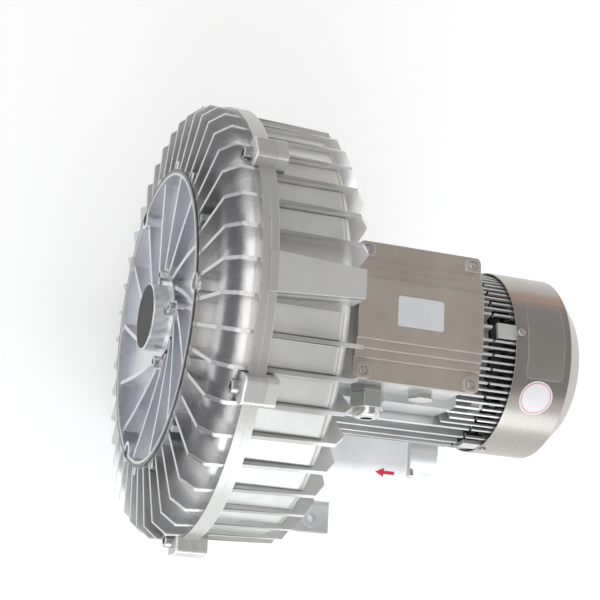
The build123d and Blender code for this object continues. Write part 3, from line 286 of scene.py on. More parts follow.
def new_group(name, inputs, outputs):
    """Empty shader node group with named sockets; returns it with its two end nodes."""
    group = bpy.data.node_groups.new(name, "ShaderNodeTree")
    for label, kind, value in inputs:
        socket = group.interface.new_socket(name=label, in_out="INPUT", socket_type=kind)
        if value is not None:
            socket.default_value = value
    for label, kind in outputs:
        group.interface.new_socket(name=label, in_out="OUTPUT", socket_type=kind)
    return group, group.nodes.new("NodeGroupInput"), group.nodes.new("NodeGroupOutput")


# Shared effects

def edge_wear_and_highlight_group():
    """Edge Wear And Highlight: a mask along outer edges, partly rubbed metal and partly a painted edge highlight,
    and a normal that rounds them.
    """
    group, ends, out = new_group("Edge Wear And Highlight", [("Radius", "NodeSocketFloat", 0.001),
                                               ("Amount", "NodeSocketFloat", 1.0),
                                               ("Patches", "NodeSocketVector", None)],
                                 [("Mask", "NodeSocketFloat"), ("Normal", "NodeSocketVector")])
    rounded = node(group, "ShaderNodeBevel", Radius=ends.outputs["Radius"])
    rounded.samples = 6
    geometry = group.nodes.new("ShaderNodeNewGeometry")
    facing = group.nodes.new("ShaderNodeVectorMath")
    facing.operation = "DOT_PRODUCT"
    group.links.new(rounded.outputs[0], facing.inputs[0])
    group.links.new(geometry.outputs["Normal"], facing.inputs[1])
    turn = maths(group, "SUBTRACT", 1.0, facing.outputs["Value"])
    band = ramp(group, turn, 0.01, 0.2)
    broken = maths(group, "ADD", noise(group, ends.outputs["Patches"], 60.0), 0.35, clamp=True)
    # Edge mask: partly rubbed metal, partly where a painted highlight goes
    mask = maths(group, "MULTIPLY", band, broken)
    mask = maths(group, "MULTIPLY", mask, ends.outputs["Amount"], clamp=True)
    group.links.new(mask, out.inputs["Mask"])
    group.links.new(rounded.outputs[0], out.inputs["Normal"])
    return group


def cast_grain_group():
    """Cast Grain: fine skin of a sand or die casting, with slow cloudy tone."""
    group, ends, out = new_group("Cast Grain", [("Place", "NodeSocketVector", None),
                                                ("Scale", "NodeSocketFloat", 500.0)],
                                 [("Height", "NodeSocketFloat"), ("Tone", "NodeSocketFloat")])
    place, scale = ends.outputs["Place"], ends.outputs["Scale"]
    fine = noise(group, place, scale, 2.0, 0.6)
    coarse = noise(group, place, maths(group, "MULTIPLY", scale, 0.22), 2.0)
    height = maths(group, "MULTIPLY_ADD", coarse, 0.5, fine)
    cloud = noise(group, place, 9.0, 4.0, 0.6)
    group.links.new(height, out.inputs["Height"])
    group.links.new(ramp(group, cloud, 0.3, 0.7), out.inputs["Tone"])
    return group


def turned_lines_group():
    """Turned Lines: brushing or turning marks that run round the shaft axis."""
    group, ends, out = new_group("Turned Lines", [("Radius", "NodeSocketFloat", 0.0),
                                                  ("Along", "NodeSocketFloat", 0.0),
                                                  ("Scale", "NodeSocketFloat", 1500.0)],
                                 [("Height", "NodeSocketFloat"), ("Tone", "NodeSocketFloat")])
    lane = node(group, "ShaderNodeCombineXYZ", X=ends.outputs["Radius"], Y=ends.outputs["Along"])
    fine = noise(group, lane.outputs[0], ends.outputs["Scale"], 3.0, 0.7)
    wide = noise(group, lane.outputs[0], maths(group, "MULTIPLY", ends.outputs["Scale"], 0.12), 2.0)
    tone = maths(group, "MULTIPLY_ADD", wide, 0.6, maths(group, "MULTIPLY", fine, 0.4))
    group.links.new(fine, out.inputs["Height"])
    group.links.new(tone, out.inputs["Tone"])
    return group


def dust_group():
    """Dust: thin dull film on faces that look up."""
    group, ends, out = new_group("Dust", [("Place", "NodeSocketVector", None),
                                          ("Amount", "NodeSocketFloat", 0.3)],
                                 [("Mask", "NodeSocketFloat")])
    geometry = group.nodes.new("ShaderNodeNewGeometry")
    up = node(group, "ShaderNodeSeparateXYZ", Vector=geometry.outputs["Normal"]).outputs["Z"]
    film = ramp(group, noise(group, ends.outputs["Place"], 30.0, 5.0, 0.7), 0.35, 0.75)
    top = maths(group, "MULTIPLY", ramp(group, up, 0.2, 1.0), film)
    group.links.new(maths(group, "MULTIPLY", top, ends.outputs["Amount"]), out.inputs["Mask"])
    return group


EDGE_WEAR_AND_HIGHLIGHT = edge_wear_and_highlight_group()
CAST_GRAIN = cast_grain_group()
TURNED_LINES = turned_lines_group()
DUST = dust_group()


# Materials

def new_material(name, metallic):
    """Material with its Principled shader."""
    material = bpy.data.materials.new(name)
    material.use_nodes = True
    tree = material.node_tree
    shader = tree.nodes["Principled BSDF"]
    shader.inputs["Metallic"].default_value = metallic
    return material, tree, shader


def shades(colour, factor):
    """A colour made darker or lighter."""
    return tuple(min(1.0, part * factor) for part in colour[:3]) + (1.0,)


def finish_surface(tree, shader, colour, rough, height, depth, wear_and_highlight):
    """Joins colour, roughness, grain and rounded edges to the shader."""
    tree.links.new(colour, shader.inputs["Base Color"])
    tree.links.new(rough, shader.inputs["Roughness"])
    bump = node(tree, "ShaderNodeBump", Strength=1.0, Distance=depth, Height=height,
                Normal=wear_and_highlight.outputs["Normal"])
    tree.links.new(bump.outputs[0], shader.inputs["Normal"])


def cast_metal(name, colour, rough=0.36, grain=420.0, depth=0.00012, wear_and_highlight_amount=0.8,
               dust=0.15, metallic=0.9, zones=()):
    """Cast aluminium: cloudy grey skin, fine grain, bright edges that are partly rubbed metal and partly a painted
    highlight, a little dust, and zones with a colour of their own or with painted shade.
    """
    material, tree, shader = new_material(name, metallic)
    place = object_place(tree)
    skin = use_group(tree, CAST_GRAIN, Place=place, Scale=grain)
    wear_and_highlight = use_group(tree, EDGE_WEAR_AND_HIGHLIGHT, Radius=0.0008, Amount=wear_and_highlight_amount, Patches=place)
    film = use_group(tree, DUST, Place=place, Amount=dust)
    base = blend(tree, skin.outputs["Tone"], shades(colour, 0.9), shades(colour, 1.1))
    # Edges lightened towards BRIGHT: partly rubbed metal, partly a painted highlight
    wear_and_painted_light = blend(tree, wear_and_highlight.outputs["Mask"], base, BRIGHT)
    surface = blend(tree, film.outputs["Mask"], wear_and_painted_light, DUST_COLOUR)
    for in_r, out_r, y0, y1, zone_colour in zones:
        surface = blend(tree, shaft_zone(tree, place, in_r, out_r, y0, y1), surface, zone_colour)
    level = maths(tree, "MULTIPLY_ADD", skin.outputs["Height"], 0.10, rough - 0.07)
    level = maths(tree, "MULTIPLY_ADD", film.outputs["Mask"], 0.3, level)
    finish_surface(tree, shader, surface, level, skin.outputs["Height"], depth, wear_and_highlight)
    return material


def cover_metal():
    """Cover casting: cooler dish inside a ring painted near black as a painted shadow of the ring wall, bright
    sandy skin on the flange's front edge.
    """
    full_metal = 0.95
    material, tree, shader = new_material("cover_casting", full_metal)
    place = object_place(tree)
    radius, along = shaft_place(tree, place)
    skin = use_group(tree, CAST_GRAIN, Place=place, Scale=380.0)
    sand = use_group(tree, CAST_GRAIN, Place=place, Scale=1300.0)
    wear_and_highlight = use_group(tree, EDGE_WEAR_AND_HIGHLIGHT, Radius=0.0006, Amount=0.8, Patches=place)
    dish = fall(tree, radius, 0.1635, 0.165)
    ring = maths(tree, "MULTIPLY", ramp(tree, radius, 0.1664, 0.1672), fall(tree, radius, 0.1712, 0.1720))
    ring = maths(tree, "MULTIPLY", ring, fall(tree, along, -0.2015, -0.2000))
    rim = ramp(tree, radius, 0.246, 0.2485)
    edge = maths(tree, "MULTIPLY", rim, fall(tree, along, -0.1622, -0.1612))
    grey = blend(tree, skin.outputs["Tone"], (0.57, 0.57, 0.575, 1.0), (0.67, 0.67, 0.675, 1.0))
    cool = blend(tree, skin.outputs["Tone"], (0.68, 0.69, 0.725, 1.0), (0.80, 0.81, 0.845, 1.0))
    base = blend(tree, dish, grey, cool)
    base = blend(tree, rim, base, FLANGE_GREY)
    speck = maths(tree, "MULTIPLY_ADD", ramp(tree, sand.outputs["Height"], 0.62, 0.92), 0.5, 0.45)
    base = blend(tree, maths(tree, "MULTIPLY", edge, speck), base, (0.95, 0.95, 0.95, 1.0))
    # Edges lightened: partly rubbed metal, partly a painted highlight
    wear_and_painted_light = blend(tree, wear_and_highlight.outputs["Mask"], base, (0.88, 0.88, 0.89, 1.0))
    # The ring's face is painted near black: painted shadow of the ring wall on the dish.
    wear_and_painted_light = blend(tree, maths(tree, "MULTIPLY", ring, 0.9), wear_and_painted_light, (0.05, 0.05, 0.055, 1.0))
    matt = maths(tree, "MULTIPLY_ADD", edge, 0.4, maths(tree, "MULTIPLY", rim, 0.35))
    tree.links.new(maths(tree, "SUBTRACT", full_metal, matt), shader.inputs["Metallic"])
    height = maths(tree, "MULTIPLY", edge, sand.outputs["Height"])
    height = maths(tree, "MULTIPLY_ADD", height, 2.0, skin.outputs["Height"])
    level = maths(tree, "MULTIPLY_ADD", skin.outputs["Height"], 0.10, 0.22)
    level = maths(tree, "MULTIPLY_ADD", edge, 0.2, level)
    finish_surface(tree, shader, wear_and_painted_light, level, height, 0.00009, wear_and_highlight)
    return material


def turned_metal(name, colour, rough=0.25, scale=1500.0, depth=0.00003, contrast=0.2):
    """Turned or brushed metal with marks round the shaft axis."""
    material, tree, shader = new_material(name, 1.0)
    place = object_place(tree)
    radius, along = shaft_place(tree, place)
    lines = use_group(tree, TURNED_LINES, Radius=radius, Along=along, Scale=scale)
    wear_and_highlight = use_group(tree, EDGE_WEAR_AND_HIGHLIGHT, Radius=0.0006, Amount=0.7, Patches=place)
    base = blend(tree, lines.outputs["Tone"], shades(colour, 1.0 - contrast), shades(colour, 1.0 + contrast))
    # Edges lightened towards BRIGHT: partly rubbed metal, partly a painted highlight
    wear_and_painted_light = blend(tree, wear_and_highlight.outputs["Mask"], base, BRIGHT)
    level = maths(tree, "MULTIPLY_ADD", lines.outputs["Tone"], 0.18, rough - 0.09)
    finish_surface(tree, shader, wear_and_painted_light, level, lines.outputs["Height"], depth, wear_and_highlight)
    return material


def cap_metal():
    """Bearing cap: bright turned side; the disc in front is painted near black as painted shade."""
    material, tree, shader = new_material("cap_machined", 0.95)
    place = object_place(tree)
    radius, along = shaft_place(tree, place)
    lines = use_group(tree, TURNED_LINES, Radius=radius, Along=along, Scale=900.0)
    wear_and_highlight = use_group(tree, EDGE_WEAR_AND_HIGHLIGHT, Radius=0.0008, Amount=0.9, Patches=place)
    disc = maths(tree, "MULTIPLY", fall(tree, radius, 0.0362, 0.0370), fall(tree, along, -0.2120, -0.2110))
    side = blend(tree, lines.outputs["Tone"], (0.68, 0.68, 0.69, 1.0), (0.84, 0.84, 0.85, 1.0))
    dark = blend(tree, lines.outputs["Tone"], (0.03, 0.03, 0.032, 1.0), (0.045, 0.044, 0.047, 1.0))
    # The front disc is painted near black: painted shade of a face turned from the light.
    base = blend(tree, disc, side, dark)
    # Edges lightened: partly rubbed metal, partly a painted highlight
    wear_and_painted_light = blend(tree, wear_and_highlight.outputs["Mask"], base, (0.9, 0.9, 0.9, 1.0))
    level = maths(tree, "MULTIPLY_ADD", disc, 0.22, 0.26)
    finish_surface(tree, shader, wear_and_painted_light, level, lines.outputs["Height"], 0.00003, wear_and_highlight)
    return material


def plain_finish(name, colour, rough=0.5, depth=0.00006):
    """Moulded plastic, rubber, paint or print with a fine skin."""
    material, tree, shader = new_material(name, 0.0)
    place = object_place(tree)
    skin = use_group(tree, CAST_GRAIN, Place=place, Scale=700.0)
    wear_and_highlight = use_group(tree, EDGE_WEAR_AND_HIGHLIGHT, Radius=0.0005, Amount=0.3, Patches=place)
    base = blend(tree, skin.outputs["Tone"], shades(colour, 0.93), shades(colour, 1.07))
    # Edges lightened: partly rubbed material, partly a painted highlight
    wear_and_painted_light = blend(tree, wear_and_highlight.outputs["Mask"], base, shades(colour, 1.5))
    level = maths(tree, "MULTIPLY_ADD", skin.outputs["Height"], 0.12, rough - 0.08)
    finish_surface(tree, shader, wear_and_painted_light, level, skin.outputs["Height"], depth, wear_and_highlight)
    return material


def floor_material():
    """Matt paper that glows a little where it is seen, so that a lit pale floor reads as white."""
    material, tree, shader = new_material("floor_paper", 0.0)
    shader.inputs["Base Color"].default_value = (0.62, 0.62, 0.62, 1.0)
    shader.inputs["Roughness"].default_value = 0.9
    shader.inputs["Specular IOR Level"].default_value = 0.1
    path = tree.nodes.new("ShaderNodeLightPath")
    seen = maths(tree, "MAXIMUM", path.outputs["Is Camera Ray"], path.outputs["Is Glossy Ray"])
    tree.links.new(maths(tree, "MULTIPLY", seen, FLOOR_GLOW), shader.inputs["Emission Strength"])
    shader.inputs["Emission Color"].default_value = WHITE
    return material


def glowing_material(name):
    """Material without a shader as yet; returns it with its tree, its output and the reflection switch."""
    material = bpy.data.materials.new(name)
    material.use_nodes = True
    tree = material.node_tree
    tree.nodes.clear()
    glossy = tree.nodes.new("ShaderNodeLightPath").outputs["Is Glossy Ray"]
    return material, tree, tree.nodes.new("ShaderNodeOutputMaterial").inputs[0], glossy


def ceiling_material():
    """Ceiling card: a soft lamp; in reflections it is bright in front and grey behind."""
    material, tree, surface, glossy = glowing_material("ceiling_card")
    along = node(tree, "ShaderNodeSeparateXYZ", Vector=object_place(tree)).outputs["Y"]
    rear = ramp(tree, along, *CEILING_FADE_Y)
    mirrored = maths(tree, "MULTIPLY_ADD", rear, CEILING_REAR - CEILING_FRONT, CEILING_FRONT)
    change = maths(tree, "MULTIPLY", maths(tree, "SUBTRACT", mirrored, CEILING_LIGHT), glossy)
    glow = node(tree, "ShaderNodeEmission", Color=(1.0, 0.985, 0.96, 1.0),
                Strength=maths(tree, "ADD", change, CEILING_LIGHT))
    tree.links.new(glow.outputs[0], surface)
    return material


def card_material(name, colour, strength=1.0):
    """Card that only reflections see: it glows there and is clear to every other ray."""
    material, tree, surface, glossy = glowing_material(name)
    mix = node(tree, "ShaderNodeMixShader", Fac=glossy)
    glow = node(tree, "ShaderNodeEmission", Color=colour, Strength=strength)
    tree.links.new(tree.nodes.new("ShaderNodeBsdfTransparent").outputs[0], mix.inputs[1])
    tree.links.new(glow.outputs[0], mix.inputs[2])
    tree.links.new(mix.outputs[0], surface)
    return material


# Pieces

def finish_piece(shape, name, material):
    """Turns a bmesh into an object at the origin with its material."""
    bmesh.ops.recalc_face_normals(shape, faces=shape.faces)
    mesh = bpy.data.meshes.new(name)
    shape.to_mesh(mesh)
    shape.free()
    mesh.materials.append(material)
    piece = bpy.data.objects.new(name, mesh)
    bpy.context.scene.collection.objects.link(piece)
    return piece


def join_shape(whole, one):
    """Adds one bmesh to another and frees it."""
    store = bpy.data.meshes.new("store")
    one.to_mesh(store)
    one.free()
    whole.from_mesh(store)
    bpy.data.meshes.remove(store)


def wrap_on_cowl(width_angle, y0, y1, mid_angle, lift, thickness, corner, name, material):
    """Thin plate bent round the cowl, with rounded corners."""
    sheet = bmesh.new()
    half_w = COWL_R * radians(width_angle) / 2
    half_l = (y1 - y0) / 2
    bmesh.ops.create_grid(sheet, x_segments=24, y_segments=6, size=1.0)
    bmesh.ops.scale(sheet, verts=sheet.verts, vec=(half_w, half_l, 1.0))
    corners = [v for v in sheet.verts
               if abs(abs(v.co.x) - half_w) < 1e-6 and abs(abs(v.co.y) - half_l) < 1e-6]
    bmesh.ops.bevel(sheet, geom=corners, offset=corner, segments=4, profile=0.5, affect="VERTICES",
                    material=-1)
    bend_on_cowl(sheet, (y0 + y1) / 2, mid_angle, lift, thickness, name, material)


def bend_on_cowl(sheet, mid_y, mid_angle, lift, thickness, name, material):
    """Gives a flat sheet its thickness and bends it round the cowl."""
    bmesh.ops.recalc_face_normals(sheet, faces=sheet.faces)
    for face in sheet.faces:
        if face.normal.z < 0:
            face.normal_flip()
    bmesh.ops.solidify(sheet, geom=sheet.faces[:], thickness=thickness)
    low = min(v.co.z for v in sheet.verts)
    for vertex in sheet.verts:
        angle = radians(mid_angle) + vertex.co.x / COWL_R
        radius = COWL_R + lift + vertex.co.z - low
        vertex.co = Vector((radius * sin(angle), mid_y + vertex.co.y, SHAFT_Z + radius * cos(angle)))
    piece = finish_piece(sheet, name, material)
    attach(piece, "housing")


def flat_plate(name, outline, height, thickness, material, bevel=0.0002):
    """Flat plate from an outline of (x, y) points, lying at a height, with a soft edge."""
    sheet = bmesh.new()
    face = sheet.faces.new([sheet.verts.new((x, y, height)) for x, y in outline])
    lifted = bmesh.ops.extrude_face_region(sheet, geom=[face])
    top = [v for v in lifted["geom"] if isinstance(v, bmesh.types.BMVert)]
    bmesh.ops.translate(sheet, verts=top, vec=(0.0, 0.0, thickness))
    rim = [e for e in sheet.edges if all(v in top for v in e.verts)]
    bmesh.ops.bevel(sheet, geom=rim, offset=bevel, segments=2, profile=0.5, affect="EDGES", material=-1)
    piece = finish_piece(sheet, name, material)
    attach(piece, "housing")


def round_sheet(radius, band=0.0):
    """Flat disc, or a ring where a band width is given, with enough rings of faces to bend."""
    sheet = bmesh.new()
    bmesh.ops.create_circle(sheet, cap_ends=True, segments=72, radius=radius)
    if band:
        middle = sheet.faces[:]
        bmesh.ops.inset_region(sheet, faces=middle, thickness=band, use_boundary=True)
        bmesh.ops.delete(sheet, geom=middle, context="FACES")
        return sheet
    for _ in range(5):
        middle = max(sheet.faces, key=lambda face: len(face.verts))
        bmesh.ops.inset_region(sheet, faces=[middle], thickness=radius / 6, use_boundary=True)
    return sheet


def rounded_outline(x0, x1, y0, y1, corner):
    """Points of a rectangle with rounded corners."""
    outline = []
    for x, y, turn in ((x1, y1, 0), (x0, y1, 90), (x0, y0, 180), (x1, y0, 270)):
        mid_x = x - corner if x == x1 else x + corner
        mid_y = y - corner if y == y1 else y + corner
        for i in range(5):
            angle = radians(turn + i * 22.5)
            outline.append((mid_x + corner * cos(angle), mid_y + corner * sin(angle)))
    return outline


def duct_top(x):
    """Height of the right duct's upper surface, which rounds off towards its side."""
    past = max(0.0, x - (DUCT_MID_X + DUCT_HALF_W - DUCT_CORNER_R))
    return DUCT_MID_Z + DUCT_HALF_H - DUCT_CORNER_R + (DUCT_CORNER_R ** 2 - past ** 2) ** 0.5


def flow_arrow(mid_x, y0, y1, name, material):
    """Arrow on the right duct that points towards the housing, bent over the duct's corner."""
    head_y = y0 + (y1 - y0) * ARROW_HEAD_SHARE
    sheet = bmesh.new()
    rows = [(y0, 0.0), (head_y, ARROW_HEAD_HALF_W), (head_y, ARROW_STEM_HALF_W), (y1, ARROW_STEM_HALF_W)]
    strips = []
    for y, half in rows:
        strips.append([sheet.verts.new((mid_x + half * (i / 3 - 1), y, 0.0)) for i in range(7)])
    for low, high in ((strips[0], strips[1]), (strips[2], strips[3])):
        for i in range(6):
            sheet.faces.new((low[i], low[i + 1], high[i + 1], high[i]))
    bmesh.ops.remove_doubles(sheet, verts=sheet.verts, dist=1e-6)
    for vertex in sheet.verts:
        vertex.co.z = duct_top(vertex.co.x) + LIFT
    bmesh.ops.recalc_face_normals(sheet, faces=sheet.faces)
    bmesh.ops.solidify(sheet, geom=sheet.faces[:], thickness=-ARROW_T)
    piece = finish_piece(sheet, name, material)
    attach(piece, "housing")


def clear_of_posts(angle):
    """Whether a fin of the motor passes beside the four posts that carry the cowl."""
    half_step = POST_STEP / 2
    return abs((angle - POST_PHASE + half_step) % POST_STEP - half_step) > POST_HALF_ANGLE


def fin_strips(name, angles, in_r, front_y, material):
    """Thin radial strips on the motor that run on under the cowl, clear of its posts."""
    whole = bmesh.new()
    size = (STRIP_T, STRIP_REAR_Y - front_y, STRIP_OUT_R - in_r)
    middle = (0.0, (front_y + STRIP_REAR_Y) / 2, (in_r + STRIP_OUT_R) / 2)
    for angle in filter(clear_of_posts, angles):
        strip = bmesh.ops.create_cube(whole, size=1.0)["verts"]
        bmesh.ops.scale(whole, verts=strip, vec=size)
        bmesh.ops.translate(whole, verts=strip, vec=middle)
        bmesh.ops.rotate(whole, verts=strip, matrix=Matrix.Rotation(radians(angle), 3, "Y"))
    bmesh.ops.translate(whole, verts=whole.verts, vec=(0.0, 0.0, SHAFT_Z))
    piece = finish_piece(whole, name, material)
    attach(piece, "housing")


def casing_pads(name, angles, material):
    """Raised panels between the casing's fins, rounded at the rear and along the sides."""
    whole = bmesh.new()
    rise = PAD_R - PAD_FOOT_R
    for angle in angles:
        one = bmesh.new()
        bmesh.ops.create_cube(one, size=1.0)
        bmesh.ops.scale(one, verts=one.verts, vec=(PAD_WIDTH, PAD_Y1 - PAD_Y0, rise))
        rear = [e for e in one.edges if all(v.co.y > 0.0 for v in e.verts)]
        bmesh.ops.bevel(one, geom=rear, offset=PAD_REAR_ROUND, segments=5, profile=0.5, affect="EDGES",
                        material=-1)
        sides = [e for e in one.edges if all(v.co.z > rise * 0.49 for v in e.verts)
                 and all(abs(v.co.x) > PAD_WIDTH * 0.49 for v in e.verts)]
        bmesh.ops.bevel(one, geom=sides, offset=PAD_SIDE_ROUND, segments=3, profile=0.5, affect="EDGES",
                        material=-1)
        bmesh.ops.translate(one, verts=one.verts, vec=(0.0, (PAD_Y0 + PAD_Y1) / 2, (PAD_R + PAD_FOOT_R) / 2))
        bmesh.ops.rotate(one, verts=one.verts, matrix=Matrix.Rotation(radians(angle), 3, "Y"))
        join_shape(whole, one)
    bmesh.ops.translate(whole, verts=whole.verts, vec=(0.0, 0.0, SHAFT_Z))
    piece = finish_piece(whole, name, material)
    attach(piece, "housing")


def hex_reach(angle, apothem):
    """Distance from the centre of a hexagon to its side in a direction given in radians."""
    return apothem / cos((angle + pi / 6) % (pi / 3) - pi / 6)


def screw_head(radius, height, shank_radius, shank_length, socket, cross=False):
    """Screw along Z, head top at the origin: rounded head with a hexagon or cross recess."""
    shape = bmesh.new()
    bmesh.ops.create_cone(shape, cap_ends=True, segments=36, radius1=radius, radius2=radius, depth=height,
                          matrix=Matrix.Translation((0.0, 0.0, -height / 2)))
    top = max(shape.faces, key=lambda face: face.calc_center_median().z)
    bmesh.ops.bevel(shape, geom=list(top.edges), offset=min(radius, height) * (0.45 if cross else 0.12),
                    segments=4 if cross else 2, profile=0.5, affect="EDGES", material=-1)
    top = max(shape.faces, key=lambda face: face.calc_center_median().z)
    flat = max(v.co.xy.length for v in top.verts)
    bmesh.ops.inset_region(shape, faces=[top], thickness=flat - socket * 1.05, use_even_offset=True)
    for vertex in top.verts:
        angle = atan2(vertex.co.y, vertex.co.x)
        if cross:
            reach = socket * (0.34 + 0.66 * abs(cos(2 * angle)) ** 5)
        else:
            reach = hex_reach(angle, socket * 0.86)
        vertex.co.x, vertex.co.y = reach * cos(angle), reach * sin(angle)
    sunk = bmesh.ops.extrude_face_region(shape, geom=[top])
    low = [v for v in sunk["geom"] if isinstance(v, bmesh.types.BMVert)]
    bmesh.ops.delete(shape, geom=[top], context="FACES_ONLY")
    bmesh.ops.translate(shape, verts=low, vec=(0.0, 0.0, -height * 0.55))
    if cross:
        bmesh.ops.scale(shape, verts=low, vec=(0.7, 0.7, 1.0))
    bmesh.ops.create_cone(shape, cap_ends=True, segments=18, radius1=shank_radius, radius2=shank_radius,
                          depth=shank_length,
                          matrix=Matrix.Translation((0.0, 0.0, -height - shank_length / 2)))
    return shape


def screw_set(name, node_name, places, shank_length, sizes):
    """Detailed screws in place of a CAD node. Each place is (head top, direction that the head faces)."""
    whole = bmesh.new()
    for spot, facing in places:
        one = screw_head(shank_length=shank_length, **sizes)
        turn = Vector(facing).to_track_quat("Z", "Y").to_matrix().to_4x4()
        bmesh.ops.transform(one, verts=one.verts, matrix=Matrix.Translation(spot) @ turn)
        join_shape(whole, one)
    piece = finish_piece(whole, name, FINISHES["steel_screws"])
    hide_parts(node_name)
    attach(piece, "housing")


def round_places(count, phase, radius, y, facing=None):
    """Places on a circle about the shaft, facing one way or, where none is given, outwards."""
    places = []
    for i in range(count):
        angle = radians(phase + i * 360.0 / count)
        across, up = sin(angle), cos(angle)
        places.append(((radius * across, y, SHAFT_Z + radius * up), facing or (across, 0.0, up)))
    return places


def floor_card_corners(x0, x1, y0, y1, height):
    """Corners of a card that lies just above the floor."""
    return [(x0, y0, height), (x1, y0, height), (x1, y1, height), (x0, y1, height)]


def side_card_corners(x, y0, y1, z0, z1):
    """Corners of an upright card beside the machine."""
    return [(x, y0, z0), (x, y1, z0), (x, y1, z1), (x, y0, z1)]


place_camera()
build_world()
light_scene()
stage_plane("floor", FLOOR_SIZE, 0.0, floor_material())
stage_plane("ceiling", CEILING_SIZE, CEILING_Z, ceiling_material())
stage_card("front_card", [(-3.5, -3.4, 0.0), (3.5, -3.4, 0.0), (3.5, -3.4, 2.0), (-3.5, -3.4, 2.0)],
           card_material("dark_card", CARD_DARK))
stage_card("front_floor_card", floor_card_corners(-3.5, 3.5, -3.4, -0.75, 0.004),
           card_material("dark_floor_card", CARD_DARK))
stage_card("right_floor_card", floor_card_corners(0.45, 4.0, -0.7, 2.6, 0.003),
           card_material("white_card", (0.97, 0.99, 1.0, 1.0), 1.2))
stage_card("right_card", side_card_corners(2.7, -1.2, 1.9, 0.0, 1.3),
           card_material("cool_card", (0.93, 0.97, 1.0, 1.0), 2.8))
stage_card("left_wall_card", side_card_corners(-3.2, -1.0, 3.4, 0.0, 3.4),
           card_material("grey_card", (0.42, 0.43, 0.45, 1.0)))
stage_card("left_card", side_card_corners(-3.0, 1.1, 2.8, 0.1, 1.1),
           card_material("warm_card", (0.85, 0.58, 0.46, 1.0)))

FINISHES = {
    "cover_casting": cover_metal(),
    # The casing's fin tips are painted darker grey: painted shade
    "casing_casting": cast_metal("casing_casting", (0.66, 0.66, 0.65), rough=0.30, depth=0.00008,
                                 metallic=0.62, dust=0.0, zones=[FLANGE_ZONE, FIN_TIP_SHADE_ZONE]),
    "cap_machined": cap_metal(),
    "bearing_steel": turned_metal("bearing_steel", (0.55, 0.55, 0.56), rough=0.2),
    "seal_rubber": plain_finish("seal_rubber", (0.02, 0.02, 0.02), rough=0.6),
    # The motor casting's end shield zone is painted near black: painted shade under the cowl
    "motor_casting": cast_metal("motor_casting", (0.62, 0.62, 0.62), rough=0.32, grain=520.0,
                                metallic=0.6, zones=[SHIELD_SHADE_ZONE]),
    "lid_casting": cast_metal("lid_casting", (0.53, 0.475, 0.42), rough=0.34, grain=600.0,
                              wear_and_highlight_amount=1.0, dust=0.0, metallic=0.75),
    "core_iron": turned_metal("core_iron", (0.2, 0.2, 0.2), rough=0.5),
    "winding_copper": turned_metal("winding_copper", (0.55, 0.25, 0.12), rough=0.4),
    "rotor_aluminium": cast_metal("rotor_aluminium", (0.6, 0.6, 0.6)),
    "board_plastic": plain_finish("board_plastic", (0.05, 0.05, 0.05)),
    "stud_brass": turned_metal("stud_brass", (0.6, 0.45, 0.18), rough=0.3),
    "gland_nickel": cast_metal("gland_nickel", (0.66, 0.68, 0.66), rough=0.2, grain=900.0,
                               depth=0.00003, dust=0.0, metallic=1.0),
    "cowl_steel": turned_metal("cowl_steel", (0.42, 0.39, 0.36), rough=0.27, scale=2600.0,
                               depth=0.00002, contrast=0.10),
    "duct_casting": cast_metal("duct_casting", (0.90, 0.93, 0.97), rough=0.45, grain=520.0,
                               dust=0.0, metallic=0.1),
    "stub_casting": cast_metal("stub_casting", (0.74, 0.76, 0.78), rough=0.35, grain=700.0,
                               depth=0.00005, dust=0.03, metallic=0.6),
    "foot_casting": cast_metal("foot_casting", (0.70, 0.70, 0.71), rough=0.38),
    "shaft_steel": turned_metal("shaft_steel", (0.55, 0.55, 0.56)),
    "impeller_casting": cast_metal("impeller_casting", (0.6, 0.6, 0.6)),
    "fan_plastic": plain_finish("fan_plastic", (0.05, 0.05, 0.055)),
    "steel_screws": cast_metal("steel_screws", (0.55, 0.55, 0.55), rough=0.22, grain=900.0,
                               depth=0.00002, dust=0.0, metallic=1.0),
}
for entry in frame["record"]["subparts"]:
    for slot in NODES[entry["node"]].material_slots:
        slot.material = FINISHES[entry["material_slot"]]

PLATE_METAL = cast_metal("plate_metal", (0.42, 0.40, 0.375), rough=0.3, grain=900.0, depth=0.00003,
                         metallic=0.9, dust=0.0)
LABEL_GREY = plain_finish("label_grey", (0.56, 0.57, 0.60), rough=0.4, depth=0.00001)
LABEL_WHITE = plain_finish("label_white", (0.60, 0.585, 0.61), rough=0.42, depth=0.00001)
LABEL_RING = plain_finish("label_ring", (0.62, 0.16, 0.22), rough=0.42, depth=0.00001)
ARROW_RED = plain_finish("arrow_red", (0.55, 0.02, 0.06), rough=0.4, depth=0.00001)

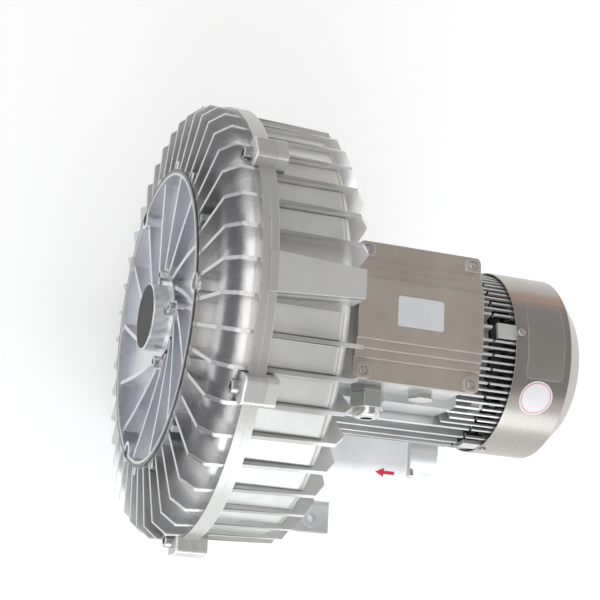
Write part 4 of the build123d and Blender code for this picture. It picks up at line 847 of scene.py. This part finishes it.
screw_set("rim_socket_screws", "rim_screws", round_places(6, RIM_PHASE, 0.251, -0.174, FRONT), 0.035, M10_SOCKET)
screw_set("cap_socket_screws", "bearing_cap_screws", round_places(4, 0.0, 0.051, -0.200, FRONT), 0.010, M8_SOCKET)
screw_set("ring_socket_screws", "ring_screws", round_places(3, 0.0, 0.164, -0.1997, FRONT), 0.016, M8_SOCKET)
LID_PLACES = [((x, LID_MID_Y + y, LID_PAD_Z), UP)
              for x in (-LID_SCREW_X, LID_SCREW_X) for y in (-LID_SCREW_Y, LID_SCREW_Y)]
screw_set("lid_pan_screws", "lid_screws", LID_PLACES, 0.018, M5_PAN)
screw_set("cowl_pan_screws", "cowl_screws", round_places(4, POST_PHASE, COWL_SCREW_R, COWL_SCREW_Y), 0.012, M5_PAN)

wrap_on_cowl(RATING_ANGLE, RATING_Y0, RATING_Y1, RATING_MID_ANGLE, LIFT, RATING_T, RATING_CORNER,
             "rating_plate", PLATE_METAL)
bend_on_cowl(round_sheet(STICKER_R), STICKER_Y, STICKER_ANGLE, LIFT, STICKER_T, "cowl_sticker", LABEL_WHITE)
bend_on_cowl(round_sheet(RING_R, RING_BAND), STICKER_Y, STICKER_ANGLE, LIFT + STICKER_T, RING_T,
             "sticker_ring", LABEL_RING)
flat_plate("lid_plate", rounded_outline(PLATE_X0, PLATE_X1, PLATE_Y0, PLATE_Y1, PLATE_CORNER), PLATE_Z,
           PLATE_T, LABEL_GREY)
flow_arrow(ARROW_MID_X, ARROW_Y0, ARROW_Y1, "flow_arrow", ARROW_RED)

PAD_ANGLES = [RIM_PHASE + i * 360.0 / CASING_FIN_COUNT for i in range(CASING_FIN_COUNT)
              if i not in TOP_BLOCK_GAPS]
TAIL_ANGLES = [i * FRAME_FIN_PITCH for i in range(int(360.0 / FRAME_FIN_PITCH))]
SHORT_FIN_ANGLES = [SHORT_FIN_FIRST + i * FRAME_FIN_PITCH for i in range(SHORT_FIN_COUNT)]
casing_pads("casing_pads", PAD_ANGLES, FINISHES["casing_casting"])
fin_strips("frame_fin_tails", TAIL_ANGLES, TAIL_IN_R, TAIL_FRONT_Y, FINISHES["motor_casting"])
fin_strips("frame_short_fins", SHORT_FIN_ANGLES, SHORT_FIN_IN_R, SHORT_FIN_FRONT_Y, FINISHES["motor_casting"])

bpy.context.scene.view_settings.view_transform = "Standard"
